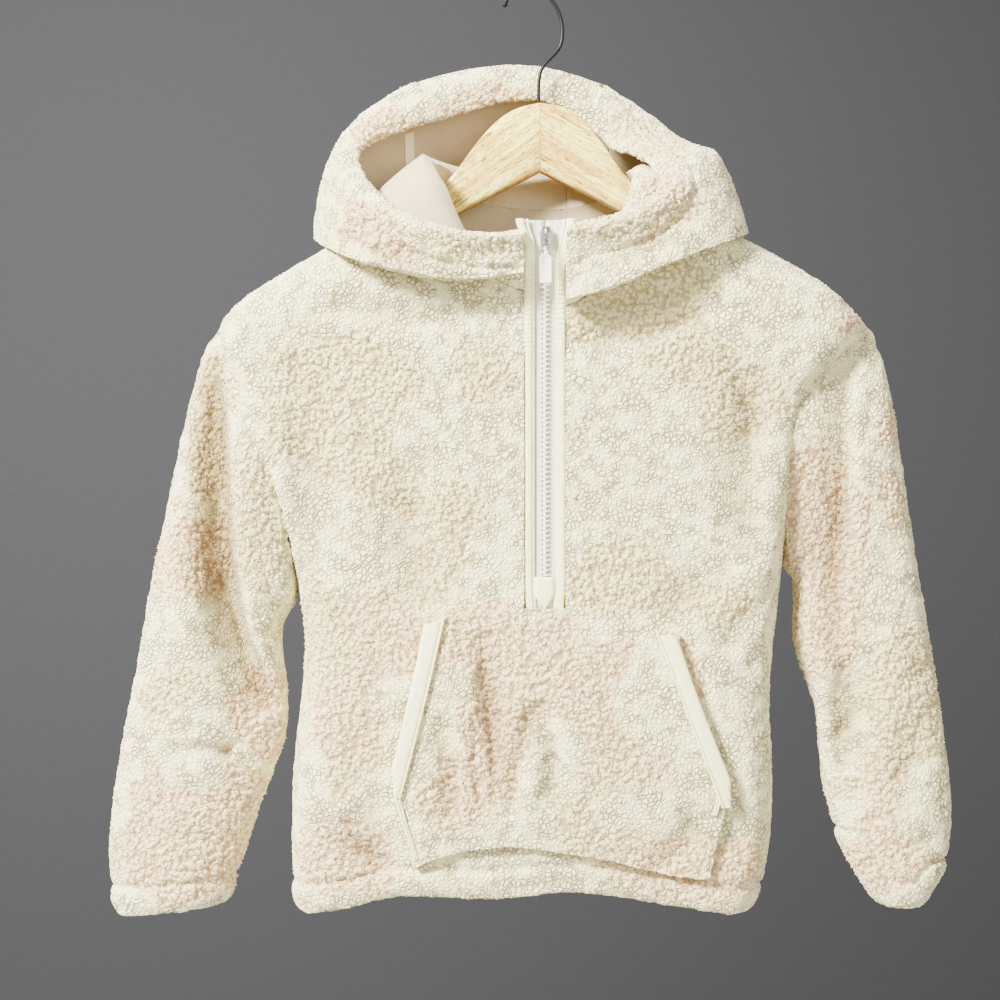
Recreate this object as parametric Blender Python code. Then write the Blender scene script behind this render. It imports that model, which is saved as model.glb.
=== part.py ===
"""Hooded half-zip pullover in sherpa fleece, hanging on a flat wooden hanger.

Millimetres are used in the tables and turned into metres when a mesh is made.
X runs to the right of someone facing the garment, Y runs to its back, Z is up.
The origin is the point inside the top of the wire hook where a rail bears.
"""
import math

import bpy
import numpy as np

MM = 0.001
FLEECE = 5.0          # wall of sherpa fleece, pile included
SEAM = 0.16           # each piece stops this far short of its seam line
LAY = 0.3             # gap under a piece that lies on another
ROOF_ROUND = 30.0     # how soon front and back part below the shoulder line
SIDE_ROUND = 26.0     # the same beside the side seam
EDGE_LIFT = 0.82      # share of the body's depth kept at the armhole
ZIP_X = 8.7           # middle of the zip
ZIP_HALF = 15.6       # half the width of the opening that the zip fills
HINGE = (8.7, -66.2, -203.0)   # where the pull's link turns in the slider's bail
LEAST_SPACING = 0.2   # inner points keep this share of the outer points' spacing
EASING_ROUNDS = 60
SQUEEZE = 0.75        # share of the pile that is pressed flat beside the zip

# half the girth at each level: z, how far the front and the back stand out
BODY_DEPTH = [
    # z, front, back
    (-143, 41, 27), (-250, 44, 28), (-310, 41, 28), (-400, 41, 27),
    (-480, 44, 28), (-590, 47, 30), (-680, 45, 31), (-720, 41, 29),
]
# edge of front and back: armhole down to the underarm, then the side seam
LEFT_EDGE = [
    # z, x
    (-268, -245), (-292, -235), (-317, -224), (-346, -212), (-376, -200),
    (-399, -193), (-415, -189), (-442, -184), (-469, -182), (-487, -177),
    (-522, -176), (-548, -179), (-590, -184), (-645, -187), (-697, -186),
    (-715, -184),
]
RIGHT_EDGE = [
    # z, x
    (-268, 265), (-278, 250), (-292, 231), (-306, 217), (-321, 204),
    (-339, 198), (-382, 194), (-416, 193), (-443, 195), (-459, 192),
    (-493, 190), (-521, 185), (-537, 180), (-548, 183), (-578, 185),
    (-643, 186), (-668, 185), (-700, 176), (-715, 170),
]
# lines that run down the front: pocket edge, binding edge, zip, and mirrored
POCKET_LEFT = [(-164, -76), (-249, -78), (-399, -79), (-490, -82), (-550, -94),
               (-609, -105), (-641, -97), (-674, -89), (-704, -87)]
BINDING_LEFT = [(-164, -63), (-399, -65), (-496, -68), (-550, -80),
                (-614, -93), (-641, -86), (-674, -76), (-704, -73)]
ZIP_LEFT = [(-165, ZIP_X - ZIP_HALF), (-703, ZIP_X - ZIP_HALF)]
ZIP_RIGHT = [(-165, ZIP_X + ZIP_HALF), (-703, ZIP_X + ZIP_HALF)]
BINDING_RIGHT = [(-164, 73), (-249, 74), (-399, 84), (-497, 92), (-550, 110),
                 (-609, 130), (-639, 127), (-677, 118), (-704, 115)]
POCKET_RIGHT = [(-164, 86), (-249, 92), (-399, 101), (-500, 108),
                (-554, 125), (-610, 145), (-639, 140), (-677, 132),
                (-704, 129)]
# shoulder lines: x, z from the tip of the shoulder to the side of the neck
SHOULDER_LEFT = [(-245, -268), (-237, -252), (-225, -243), (-211, -233),
                 (-194, -222), (-174, -211), (-134, -188), (-101, -168),
                 (-84, -156), (-76, -149)]
SHOULDER_RIGHT = [(86, -149), (94, -156), (112, -167), (161, -194), (171, -200),
                  (184, -207), (207, -218), (226, -229), (243, -246),
                  (258, -262), (265, -268)]
# levels of the front at each line: line number, z
FRONT_NECK = [(1, -149), (2, -187), (2.2, -210), (2.4, -224), (2.68, -236),
              (3, -243), (4, -254), (4.35, -246), (4.65, -226), (4.85, -208),
              (5, -189), (6, -149)]
POCKET_TOP = [(0, -469), (0.5, -484), (1, -490), (2, -487), (2.5, -483),
              (3, -481), (4, -481), (4.5, -487), (5, -496), (6, -499),
              (6.5, -476), (7, -443)]
POCKET_FOOT = [(0, -686), (1, -674), (2, -668), (2.5, -660), (3, -659),
               (4, -663), (4.5, -672), (5, -681), (6, -682), (7, -690)]
FRONT_HEM = [(0, -715), (0.25, -711), (0.5, -707), (0.75, -699), (1, -698),
             (2, -699), (2.5, -701), (3, -699), (3.5, -697), (4, -695),
             (4.5, -700), (5, -707), (6, -710), (6.5, -713), (7, -715)]
# levels of the back: line number, z (0 and 3 are its edges)
BACK_NECK = [(1, -149), (1.15, -158), (1.35, -166), (1.5, -168),
             (1.65, -166), (1.85, -158), (2, -149)]
BACK_WAIST = [(0, -469), (1, -484), (1.5, -484), (2, -484), (3, -443)]
BACK_HIP = [(0, -686), (1, -678), (2, -676), (3, -690)]
BACK_HEM = [(0, -715), (0.4, -712), (1, -704), (1.5, -706), (2, -703),
            (2.6, -711), (3, -715)]

# sleeves: outer and inner edge of each ring, and how far it stands out
SLEEVE_LEFT = [
    # outer x, outer z, inner x, inner z, front, back
    (-255, -280, -182, -477, 36, 24), (-262, -306, -184, -482, 35, 26),
    (-270, -337, -189, -489, 34, 27), (-277, -372, -193, -495, 33, 27),
    (-285, -411, -195, -506, 32, 27), (-293, -448, -193, -523, 32, 27),
    (-299, -477, -190, -544, 32, 27), (-304, -509, -189, -565, 31, 27),
    (-310, -544, -191, -585, 31, 26), (-317, -575, -198, -604, 31, 26),
    (-322, -608, -207, -626, 31, 26), (-327, -637, -216, -651, 31, 26),
    (-329, -668, -223, -674, 31, 26), (-328, -696, -231, -694, 30, 25),
    (-324, -721, -235, -712, 27, 23),
]
SLEEVE_RIGHT = [
    (271, -284, 195, -452, 36, 24), (276, -306, 198, -456, 35, 26),
    (280, -329, 203, -461, 34, 27), (285, -359, 204, -468, 33, 27),
    (291, -395, 204, -482, 32, 27), (296, -431, 203, -499, 32, 27),
    (301, -462, 204, -516, 32, 27), (306, -491, 211, -533, 32, 27),
    (311, -523, 218, -551, 31, 27), (316, -555, 222, -574, 31, 26),
    (321, -588, 223, -597, 31, 26), (325, -622, 226, -622, 31, 26),
    (326, -645, 234, -651, 31, 26), (323, -674, 242, -674, 30, 26),
    (316, -695, 254, -693, 28, 24), (303, -714, 267, -714, 23, 20),
]

# hood, from the left of the zip round the mouth to the right of the zip:
# rim = edge of the mouth, crest = outermost line seen from the front,
# low = lowest line of the overhang or of the pouch behind,
# rise = where the wall turns over, measured from the neck seam,
# belly = how far the wall swells between crest and low,
# fold = width of the turn at the low line
HOOD = [
    # rim x, y, z, crest x, y, z, low x, y, z, rise x, y, z, belly, fold
    (-7, -60, -199, -7, -65, -211, -7, -59, -231, 0, -6, 4, 0, 3),
    (-47, -61, -201, -50, -69, -214, -51, -68, -237, -4, -6, 7, 1, 14),
    (-83, -62, -191, -93, -69, -206, -92, -66, -232, -7, -7, 11, 2, 14),
    (-116, -50, -168, -139, -57, -184, -142, -60, -219, -8, -7, 13, 3, 14),
    (-133, -20, -138, -158, -16, -152, -170, -6, -196, -10, -3, 16, 3, 14),
    (-124, -4, -119, -152, 10, -105, -156, 44, -203, -7, 8, 20, 6, 14),
    (-79, 6, -103, -108, 18, -74, -98, 64, -230, -4, 11, 23, 9, 15),
    (-37, 11, -90, -56, 21, -58, -40, 71, -246, -2, 13, 25, 12, 15),
    (5, 12, -82, -4, 22, -55, 9, 73, -252, 0, 14, 26, 13, 15),
    (38, 11, -99, 52, 21, -67, 53, 71, -246, 2, 13, 25, 12, 15),
    (66, 4, -131, 94, 16, -94, 110, 64, -230, 4, 10, 17, 9, 15),
    (80, -20, -130, 123, 11, -117, 156, 44, -200, 5, 5, 9, 6, 14),
    (94, -55, -162, 141, -20, -130, 168, -6, -192, 6, -3, 6, 3, 14),
    (81, -61, -178, 130, -52, -164, 152, -51, -205, 5, -5, 6, 2, 13),
    (61, -62, -187, 96, -64, -193, 104, -65, -222, 5, -6, 7, 2, 14),
    (43, -62, -191, 57, -68, -208, 60, -67, -242, 4, -6, 7, 1, 14),
    (24, -60, -194, 24, -65, -211, 24, -60, -251, 0, -6, 4, 0, 3),
]
HEM_FORWARD = 7.0     # how far the turned hem of the hood's mouth stands forward
TURN_PUSH = 0.1       # how far the inner face reaches into the turn at the low line

# main folds: x and z of both ends, half-width, depth (negative stands out)
FRONT_FOLDS = [
    (-120, -626, -106, -672, 9, 7), (-150, -596, -128, -650, 12, -4),
    (-6, -570, -18, -650, 10, 3.5), (-46, -560, -44, -640, 11, 3),
    (-60, -255, -12, -268, 10, 4), (70, -262, 30, -276, 10, 4),
    (-170, -520, -120, -600, 14, 3), (150, -500, 172, -560, 13, 4),
    (150, -620, 168, -690, 12, 4), (-180, -300, -120, -360, 22, 3),
    (150, -290, 190, -350, 18, 4), (60, -700, 110, -690, 12, 3),
]
BACK_FOLDS = [
    (-150, -300, -96, -420, 20, 4), (168, -310, 120, -430, 22, 4),
    (-60, -520, -90, -690, 16, 4), (40, -470, 66, -600, 18, 3.5),
    (132, -560, 120, -700, 14, 5), (-150, -560, -140, -640, 15, 3),
    (-10, -300, 4, -400, 24, 3),
]
SLEEVE_FOLDS_FRONT = [
    (-240, -290, -241, -345, 8, 5), (-241, -345, -243, -430, 8, 8),
    (-243, -430, -239, -478, 8, 9), (-239, -478, -222, -538, 9, 9),
    (-222, -538, -196, -586, 9, 7), (-284, -586, -240, -604, 9, 4),
    (-262, -410, -262, -500, 14, -3), (-300, -640, -296, -690, 12, 3),
    (262, -280, 260, -330, 10, 6), (260, -330, 255, -420, 10, 8),
    (255, -420, 253, -495, 11, 8), (253, -495, 246, -560, 11, 7),
    (246, -560, 245, -620, 11, 6), (245, -620, 262, -670, 11, 4),
    (207, -330, 207, -430, 8, 13), (296, -600, 250, -590, 9, 3),
]
SLEEVE_FOLDS_BACK = [
    (-240, -400, -236, -520, 13, 6), (-290, -560, -240, -600, 11, 5),
    (-250, -630, -280, -690, 14, 4), (240, -390, 250, -500, 13, 6),
    (296, -560, 250, -590, 11, 5), (290, -640, 262, -690, 13, 4),
]

# zip: level, how far forward the pile beside it stands
ZIP_PATH = [(-189, -60), (-199, -61.5), (-211, -62.5), (-222, -60),
            (-234, -54), (-244, -47.5), (-254, -44.5), (-275, -43),
            (-310, -41), (-400, -41), (-481, -44)]
# hanger arms: x, upper edge, lower edge, half the thickness
ARM_LEFT = [(5.85, -90, -144, 6.5), (-5, -92, -150, 6.5), (-17, -96, -156, 6.5),
            (-29, -105, -162, 6.5), (-40, -117, -168, 6.5),
            (-52, -133, -174, 6.5), (-63, -149, -180, 6.5),
            (-80, -163, -189, 6.3), (-103, -177.1, -202, 6.2),
            (-142, -200.7, -224, 6), (-166, -214.3, -237, 5.5),
            (-175, -221, -238, 3.5)]
ARM_RIGHT = [(6.15, -90, -144, 6.5), (22, -92, -152, 6.5), (30, -96, -156, 6.5),
             (39, -101, -160, 6.5), (51, -116, -166, 6.5),
             (62, -132, -172, 6.5), (74, -149, -178, 6.5),
             (88, -162, -186, 6.4), (112, -174.6, -199, 6.2),
             (152, -196.7, -221, 6), (178, -211.6, -236, 5.5),
             (187, -218, -237, 3.5)]
HOOK_WIRE = 1.55
# hook: x, z of the wire's middle
HOOK = [(5.1, -89.6), (5.1, -79.6), (5.5, -71), (7.8, -62.4), (14.8, -54.6),
        (20.9, -47.6), (23.2, -41.3), (23.8, -33.5), (22.8, -25),
        (20, -17), (15.4, -9.6), (10, -3.6), (4.6, 0.2), (-0.8, 1.6),
        (-7, 1.2), (-13.3, -1.6), (-17.9, -5.9), (-20.6, -11.7)]


def smooth_curve(rows, column=1):
    """A curve through the table's rows that never swings past them."""
    rows = sorted(rows)
    key = np.array([row[0] for row in rows], float)
    val = np.array([row[column] for row in rows], float)
    step = np.diff(key)
    slope = np.diff(val) / step
    tangent = np.zeros_like(val)
    tangent[0] = slope[0]
    tangent[-1] = slope[-1]
    for i in range(1, len(val) - 1):
        if slope[i - 1] * slope[i] > 0:
            left = 2 * step[i] + step[i - 1]
            right = step[i] + 2 * step[i - 1]
            tangent[i] = (left + right) / (left / slope[i - 1] + right / slope[i])

    def value(at):
        at = np.clip(np.asarray(at, float), key[0], key[-1])
        i = np.clip(np.searchsorted(key, at, side="right") - 1, 0, len(step) - 1)
        t = (at - key[i]) / step[i]
        rise = (3 - 2 * t) * t * t
        return (val[i] * (1 - rise) + val[i + 1] * rise
                + step[i] * tangent[i] * t * (1 - t) ** 2
                - step[i] * tangent[i + 1] * t * t * (1 - t))

    return value


def fold_depth(folds, x, z):
    """Sum of soft troughs, each along a straight stretch."""
    total = np.zeros(np.broadcast(x, z).shape)
    for ax, az, bx, bz, width, depth in folds:
        length2 = (bx - ax) ** 2 + (bz - az) ** 2
        t = np.clip(((x - ax) * (bx - ax) + (z - az) * (bz - az)) / length2, 0, 1)
        away = np.hypot(x - ax - t * (bx - ax), z - az - t * (bz - az))
        total = total + depth * np.exp(-(away / width) ** 2)
    return total


front_depth = smooth_curve(BODY_DEPTH, 1)
back_depth = smooth_curve(BODY_DEPTH, 2)
left_edge = smooth_curve(LEFT_EDGE)
right_edge = smooth_curve(RIGHT_EDGE)
roof = smooth_curve(SHOULDER_LEFT + SHOULDER_RIGHT)
LINES = [left_edge] + [smooth_curve(rows) for rows in (
    POCKET_LEFT, BINDING_LEFT, ZIP_LEFT, ZIP_RIGHT, BINDING_RIGHT,
    POCKET_RIGHT)] + [right_edge]
BACK_LINES = [left_edge, LINES[1], LINES[6], right_edge]
zip_path = smooth_curve(ZIP_PATH)


def quarter_round(distance, radius):
    t = np.clip(distance / radius, 0, 1)
    return np.sqrt(1 - (1 - t) ** 2)


def edge_lift(x, z):
    """Depth kept at the armhole: none at the shoulder's tip and underarm."""
    left = np.clip((z + 268) / (-469 + 268), 0, 1)
    right = np.clip((z + 268) / (-443 + 268), 0, 1)
    t = np.where(x < ZIP_X, left, right)
    return EDGE_LIFT * np.sqrt(np.maximum(np.sin(np.pi * t), 0))


def body_shape(x, z):
    """Share of the full depth at a place on the body, 0 at its outline."""
    top = quarter_round((roof(x) - z) * 0.86, ROOF_ROUND)
    lift = edge_lift(x, z)
    side = np.minimum(x - left_edge(z), right_edge(z) - x)
    return top * (lift + (1 - lift) * quarter_round(side, SIDE_ROUND))


def front_y(x, z):
    shape = body_shape(x, z)
    return -front_depth(z) * shape + fold_depth(FRONT_FOLDS, x, z) * shape


def back_y(x, z):
    shape = body_shape(x, z)
    return back_depth(z) * shape - fold_depth(BACK_FOLDS, x, z) * shape


def across(lines, a, z):
    """x at line number a, between the lines that run down the panel."""
    a = np.broadcast_to(a, z.shape)
    x = np.zeros(z.shape)
    for i in range(len(lines) - 1):
        t = a - i
        here = (t >= 0) & ((t < 1) | ((t <= 1) & (i == len(lines) - 2)))
        value = lines[i](z) * (1 - t) + lines[i + 1](z) * t
        x = np.where(here, value, x)
    return x


def shoulder_top(a, last, x_neck_left, x_neck_right):
    """Level of the top edge at line a, on the shoulder lines."""
    x_left = -245 + (x_neck_left + 245) * np.clip(a, 0, 1)
    x_right = x_neck_right + (265 - x_neck_right) * np.clip(a - last + 1, 0, 1)
    return np.where(a <= 1, roof(x_left), roof(x_right))


def levels_between(tables, b):
    """Level at row b, where each table is one whole number of b."""
    z = np.zeros(np.broadcast(tables[0], b).shape)
    for i in range(len(tables) - 1):
        t = np.clip(b - i, 0, 1)
        if i == 0:
            t = t ** 1.5
        here = (b >= i) if i else (b >= -1)
        z = np.where(here, tables[i] * (1 - t) + tables[i + 1] * t, z)
    return z


front_neck = smooth_curve(FRONT_NECK)
back_neck = smooth_curve(BACK_NECK)
FRONT_LEVELS = [smooth_curve(rows) for rows in (POCKET_TOP, POCKET_FOOT, FRONT_HEM)]
BACK_LEVELS = [smooth_curve(rows) for rows in (BACK_WAIST, BACK_HIP, BACK_HEM)]


def front_point(a, b):
    top = np.where((a > 1) & (a < 6), front_neck(a),
                   shoulder_top(a, 7, -76, 86))
    z = levels_between([top] + [level(a) for level in FRONT_LEVELS], b)
    x = across(LINES, a, z)
    return np.stack([x, front_y(x, z), z], -1)


def back_point(a, b):
    top = np.where((a > 1) & (a < 2), back_neck(a),
                   shoulder_top(a, 3, -76, 86))
    z = levels_between([top] + [level(a) for level in BACK_LEVELS], b)
    x = across(BACK_LINES, a, z)
    return np.stack([x, back_y(x, z), z], -1)


def unit(vectors):
    size = np.linalg.norm(vectors, axis=-1, keepdims=True)
    return vectors / np.maximum(size, 1e-9)


def grid_normals(points, wrap=False):
    """Normals of a grid of points, first axis across, second axis down."""
    if wrap:
        du = np.roll(points, -1, 0) - np.roll(points, 1, 0)
    else:
        du = np.gradient(points, axis=0)
    dv = np.gradient(points, axis=1)
    return unit(np.cross(du, dv))


def panel_normals(point, a, b):
    """Normals of a panel worked out from its formula, not its grid."""
    step = 0.004
    a_grid, b_grid = np.meshgrid(a, b, indexing="ij")
    low_a = np.maximum(a_grid - step, a[0])
    high_a = np.minimum(a_grid + step, a[-1])
    low_b = np.maximum(b_grid - step, b[0])
    high_b = np.minimum(b_grid + step, b[-1])
    du = point(high_a, b_grid) - point(low_a, b_grid)
    dv = point(a_grid, high_b) - point(a_grid, low_b)
    return unit(np.cross(du, dv))


def body_panel(point, a, b, facing):
    """Outer and inner points of the front or the back."""
    a_grid, b_grid = np.meshgrid(a, b, indexing="ij")
    outer = point(a_grid, b_grid)
    normal = panel_normals(point, a, b)
    flip = np.sign(normal[..., 1:2] * facing)
    normal = np.where(flip < 0, -normal, normal)
    # on the seams that join front and back the normal lies in their plane
    last = len(a) - 1
    for i in range(len(a)):
        shoulder = a[i] <= 1 or a[i] >= a[-1] - 1
        if shoulder:
            x = outer[i, 0, 0]
            x = min(max(x, -244), -78) if x < ZIP_X else max(min(x, 264), 88)
            slope = float(roof(x + 1) - roof(x - 1)) / 2
            normal[i, 0] = (-slope, 0, 1)
    for j in range(len(b)):
        z = outer[0, j, 2]
        if b[j] >= 1:
            slope = float(left_edge(z + 1) - left_edge(z - 1)) / 2
            normal[0, j] = (-1, 0, slope)
        z = outer[last, j, 2]
        if b[j] >= 1:
            slope = float(right_edge(z + 1) - right_edge(z - 1)) / 2
            normal[last, j] = (1, 0, -slope)
    # at the armhole it leans towards the sleeve, and hangs down at the underarm
    for end in (0, last):
        for j in range(len(b)):
            if b[j] < 1:
                normal[end, j, 0] *= 1 - b[j] ** 2
            if b[j] < 0.4:
                normal[end, j, 2] = max(normal[end, j, 2], 0)
            if 0.8 < b[j] < 1:
                lean = 0.35 if b[j] > 0.9 else 0.12
                drop = 0.5 if b[j] > 0.9 else 0.25
                normal[end, j] = (-lean if end else lean, 0.7 * facing, -drop)
            if b[j] == 1:
                normal[end, j] = (0, 0, -1)
    normal[0, 0] = (-0.6, 0, 0.8)
    normal[last, 0] = (0.6, 0, 0.8)
    if facing < 0:
        for line in (3, 4):
            normal[column(a, line), b < 1, 0] = 0
    normal = unit(normal)
    free = np.zeros(outer.shape[:2])
    free[1:-1, 1:] = 1
    inner = untangled(outer, outer - FLEECE * normal, free)
    return outer, inner, normal


def untangled(outer, inner, free, wrap=False):
    """Ease the inner points apart where a tight bend would cross them over."""
    inner = inner.copy()
    for _ in range(EASING_ROUNDS):
        for axis in (1, 0):
            shift = np.roll(outer, -1, axis) - outer
            size = np.linalg.norm(shift, axis=-1, keepdims=True)
            now = np.sum((np.roll(inner, -1, axis) - inner) * shift, -1, keepdims=True)
            tight = (now < LEAST_SPACING * size ** 2).astype(float)
            if not (wrap and axis == 0):
                tight[(slice(None), -1) if axis else -1] = 0
            tight = np.maximum(tight, np.roll(tight, 1, axis))
            middle = (np.roll(inner, -1, axis) + np.roll(inner, 1, axis)) / 2
            ease = 0.5 * tight * free[..., None]
            if not (wrap and axis == 0):
                for end in (0, -1):
                    ease[(slice(None), end) if axis else end] = 0
            inner = inner + ease * (middle - inner)
    return inner


def pull_in(points, side, gap=SEAM):
    """Stop an edge of a grid short of its seam line."""
    points = points.copy()
    edge, inside = {"left": (0, 1), "right": (-1, -2),
                    "top": (0, 1), "foot": (-1, -2)}[side]
    if side in ("left", "right"):
        points[edge] = points[edge] + gap * unit(points[inside] - points[edge])
    else:
        points[:, edge] = points[:, edge] + gap * unit(
            points[:, inside] - points[:, edge])
    return points


def make_object(name, points, faces, material):
    mesh = bpy.data.meshes.new(name)
    points = np.asarray(points, float)
    volume = 0.0
    for face in faces:
        for k in range(1, len(face) - 1):
            volume += float(np.dot(points[face[0]], np.cross(
                points[face[k]], points[face[k + 1]])))
    if volume < 0:
        faces = [tuple(reversed(face)) for face in faces]
    mesh.from_pydata([tuple(p) for p in points * MM], [], faces)
    mesh.validate()
    mesh.update()
    item = bpy.data.objects.new(name, mesh)
    bpy.context.scene.collection.objects.link(item)
    mesh.materials.append(material)
    return item


def wall(name, outer, inner, material, wrap=False, skip=None, guide=None):
    """A closed wall between two grids; skip marks cells that are left out.

    Each cell is split along its shorter diagonal, measured on the guide grid.
    """
    guide = outer if guide is None else guide
    across_n, down_n = outer.shape[:2]
    count = across_n * down_n
    points = np.concatenate([outer.reshape(-1, 3), inner.reshape(-1, 3)])
    faces = []
    cells = across_n if wrap else across_n - 1
    for i in range(cells):
        for j in range(down_n - 1):
            if skip is not None and skip[i, j]:
                continue
            k = (i + 1) % across_n
            p = i * down_n + j
            q = k * down_n + j
            if (np.linalg.norm(guide[i, j] - guide[k, j + 1])
                    < np.linalg.norm(guide[k, j] - guide[i, j + 1]) + 1e-6):
                faces.append((p, q, q + 1))
                faces.append((p, q + 1, p + 1))
            else:
                faces.append((p, q, p + 1))
                faces.append((q, q + 1, p + 1))
    edges = {}
    for face in faces:
        for m in range(3):
            pair = (face[m], face[(m + 1) % 3])
            edges[pair] = edges.get(pair, 0) + 1
    rim = [pair for pair in edges if (pair[1], pair[0]) not in edges]
    inside = [(f[0] + count, f[2] + count, f[1] + count) for f in faces]
    sides = []
    for p, q in rim:
        if (np.linalg.norm(points[q] - points[p + count])
                < np.linalg.norm(points[p] - points[q + count])):
            sides.append((q, p, p + count))
            sides.append((q, p + count, q + count))
        else:
            sides.append((p, p + count, q + count))
            sides.append((p, q + count, q))
    used = sorted({v for face in faces + inside + sides for v in face})
    renumber = {v: n for n, v in enumerate(used)}
    faces = [tuple(renumber[v] for v in face) for face in faces + inside + sides]
    return make_object(name, points[used], faces, material)


def colour_material(name, colour, roughness, metallic=0.0):
    material = bpy.data.materials.new(name)
    material.use_nodes = True
    shader = material.node_tree.nodes["Principled BSDF"]
    shader.inputs["Base Color"].default_value = (*colour, 1.0)
    shader.inputs["Roughness"].default_value = roughness
    shader.inputs["Metallic"].default_value = metallic
    return material


def lofted(name, rings, material):
    """A solid through rings of points, capped at both ends."""
    rings = [np.asarray(ring, float) for ring in rings]
    size = len(rings[0])
    points = np.concatenate(rings)
    faces = []
    for k in range(len(rings) - 1):
        for i in range(size):
            p = k * size + i
            q = k * size + (i + 1) % size
            faces.append((p, q, q + size))
            faces.append((p, q + size, p + size))
    last = (len(rings) - 1) * size
    for i in range(1, size - 1):
        faces.append((0, i + 1, i))
        faces.append((last, last + i, last + i + 1))
    return make_object(name, points, faces, material)


def spread(start, end, count):
    return [start + (end - start) * i / count for i in range(count)]


# ---------------------------------------------------------------- body panels
SHOULDER_STEPS = [0, 0.03, 0.09, 0.2, 0.38, 0.58, 0.79]
NECK_STEPS = [0, 0.03, 0.08, 0.16, 0.28, 0.36, 0.45, 0.55, 0.64, 0.72, 0.84,
              0.92, 0.97]
FRONT_A = (SHOULDER_STEPS + [1, 1.5] + spread(2, 3, 5) + spread(3, 4, 2)
           + spread(4, 5, 5) + [5, 5.5, 6]
           + [7 - s for s in reversed(SHOULDER_STEPS)])
BACK_A = (SHOULDER_STEPS + [1 + s for s in NECK_STEPS] + [2]
          + [3 - s for s in reversed(SHOULDER_STEPS)])
ROWS_B = (spread(0, 1, 12) + spread(1, 2, 7) + [2, 2.5, 3])
FRONT_A = np.array(FRONT_A, float)
BACK_A = np.array(BACK_A, float)
ROWS_B = np.array(ROWS_B, float)
WAIST = 12            # row of the underarm and of the pocket's top seam
FOOT = 19             # row of the pocket's bottom seam


def column(a, value):
    return int(np.argmin(np.abs(a - value)))


def build_body():
    front = body_panel(front_point, FRONT_A, ROWS_B, -1)
    back = body_panel(back_point, BACK_A, ROWS_B, 1)
    # front and back share their inner seam points
    for side in (0, -1):
        back[1][side, WAIST:] = front[1][side, WAIST:]
    return front, back


def trimmed(points):
    for side in ("left", "right", "top"):
        points = pull_in(points, side)
    return points


def add_body(front, back, fleece):
    zip_left = column(FRONT_A, 3)
    zip_right = column(FRONT_A, 4)
    skip = np.zeros((len(FRONT_A) - 1, len(ROWS_B) - 1), bool)
    skip[zip_left:zip_right, :WAIST] = True
    wall("front", trimmed(front[0]), trimmed(front[1]), fleece("front"), skip=skip,
         guide=front[0])
    wall("back", trimmed(back[0]), trimmed(back[1]), fleece("back"))


# -------------------------------------------------------------------- sleeves
def armhole_loop(front, back, side, layer):
    """Tip of the shoulder, down the front edge, up the back edge."""
    down = front[layer][side, :WAIST + 1]
    up = back[layer][side, WAIST - 1:0:-1]
    return np.concatenate([down, up])


def sleeve_rings(rows, loop, per_row):
    """Rings from the armhole to the cuff, each as many points as the loop."""
    table = np.array(rows, float)
    count = len(loop)
    half = count // 2
    turn = (np.arange(half + 1) / half) ** 1.25
    front_share = (1 - np.cos(np.pi * turn)) / 2
    swell = np.sin(np.pi * turn) ** 0.75
    share = np.concatenate([front_share, front_share[-2:0:-1]])
    lift = np.concatenate([swell, swell[-2:0:-1]])
    is_front = np.arange(count) <= half
    rings = [loop]
    stations = np.arange(0, len(table) - 1 + 1e-6, per_row)
    keys = np.arange(len(table))
    for s in stations:
        row = [float(smooth_curve(list(zip(keys, table[:, c])))(s)) for c in range(6)]
        outer_x, outer_z, inner_x, inner_z, front, back = row
        x = outer_x + (inner_x - outer_x) * share
        z = outer_z + (inner_z - outer_z) * share
        y = np.where(is_front, -front * lift, back * lift)
        ring = np.stack([x, y, z], -1)
        blend = math.exp(-((s + 1) / 2.2) ** 2)
        ring[:, 1] = ring[:, 1] * (1 - blend) + loop[:, 1] * blend
        depth_front = fold_depth(SLEEVE_FOLDS_FRONT, x, z)
        depth_back = fold_depth(SLEEVE_FOLDS_BACK, x, z)
        fade = lift * (1 - blend)
        ring[:, 1] += np.where(is_front, depth_front, -depth_back) * fade
        rings.append(ring)
    return np.stack(rings, 1)


def add_sleeve(name, rows, front, back, side, material):
    outer = sleeve_rings(rows, armhole_loop(front, back, side, 0), 1.0)
    normal = grid_normals(outer, wrap=True)
    centre = outer.mean(axis=0, keepdims=True)
    if np.sum((outer - centre) * normal) < 0:
        normal = -normal
    inner = outer - FLEECE * normal
    inner[:, 0] = armhole_loop(front, back, side, 1)
    free = np.ones(outer.shape[:2])
    free[:, 0] = 0
    inner = untangled(outer, inner, free, wrap=True)
    wall(name, pull_in(outer, "top"), pull_in(inner, "top"), material, wrap=True)


# ----------------------------------------------------------------------- hood
def neck_loop(front, back, layer):
    """Neck seam from the left of the zip round the back to its right."""
    left = front[layer][column(FRONT_A, 1):column(FRONT_A, 3) + 1, 0][::-1]
    rear = back[layer][column(BACK_A, 1):column(BACK_A, 2) + 1, 0]
    right = front[layer][column(FRONT_A, 4):column(FRONT_A, 6) + 1, 0][::-1]
    return np.concatenate([left, rear[1:-1], right])


def natural_spline(values, at):
    """Catmull-Rom through equally spaced values along the first axis."""
    values = np.asarray(values, float)
    first = 2 * values[0] - values[1]
    last = 2 * values[-1] - values[-2]
    padded = np.concatenate([[first], values, [last]])
    at = np.clip(np.asarray(at, float), 0, len(values) - 1)
    i = np.minimum(at.astype(int), len(values) - 2)
    t = (at - i).reshape((-1,) + (1,) * (values.ndim - 1))
    p0, p1, p2, p3 = padded[i], padded[i + 1], padded[i + 2], padded[i + 3]
    return 0.5 * (2 * p1 + (p2 - p0) * t + (2 * p0 - 5 * p1 + 4 * p2 - p3) * t ** 2
                  + (3 * p1 - p0 - 3 * p2 + p3) * t ** 3)


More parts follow.
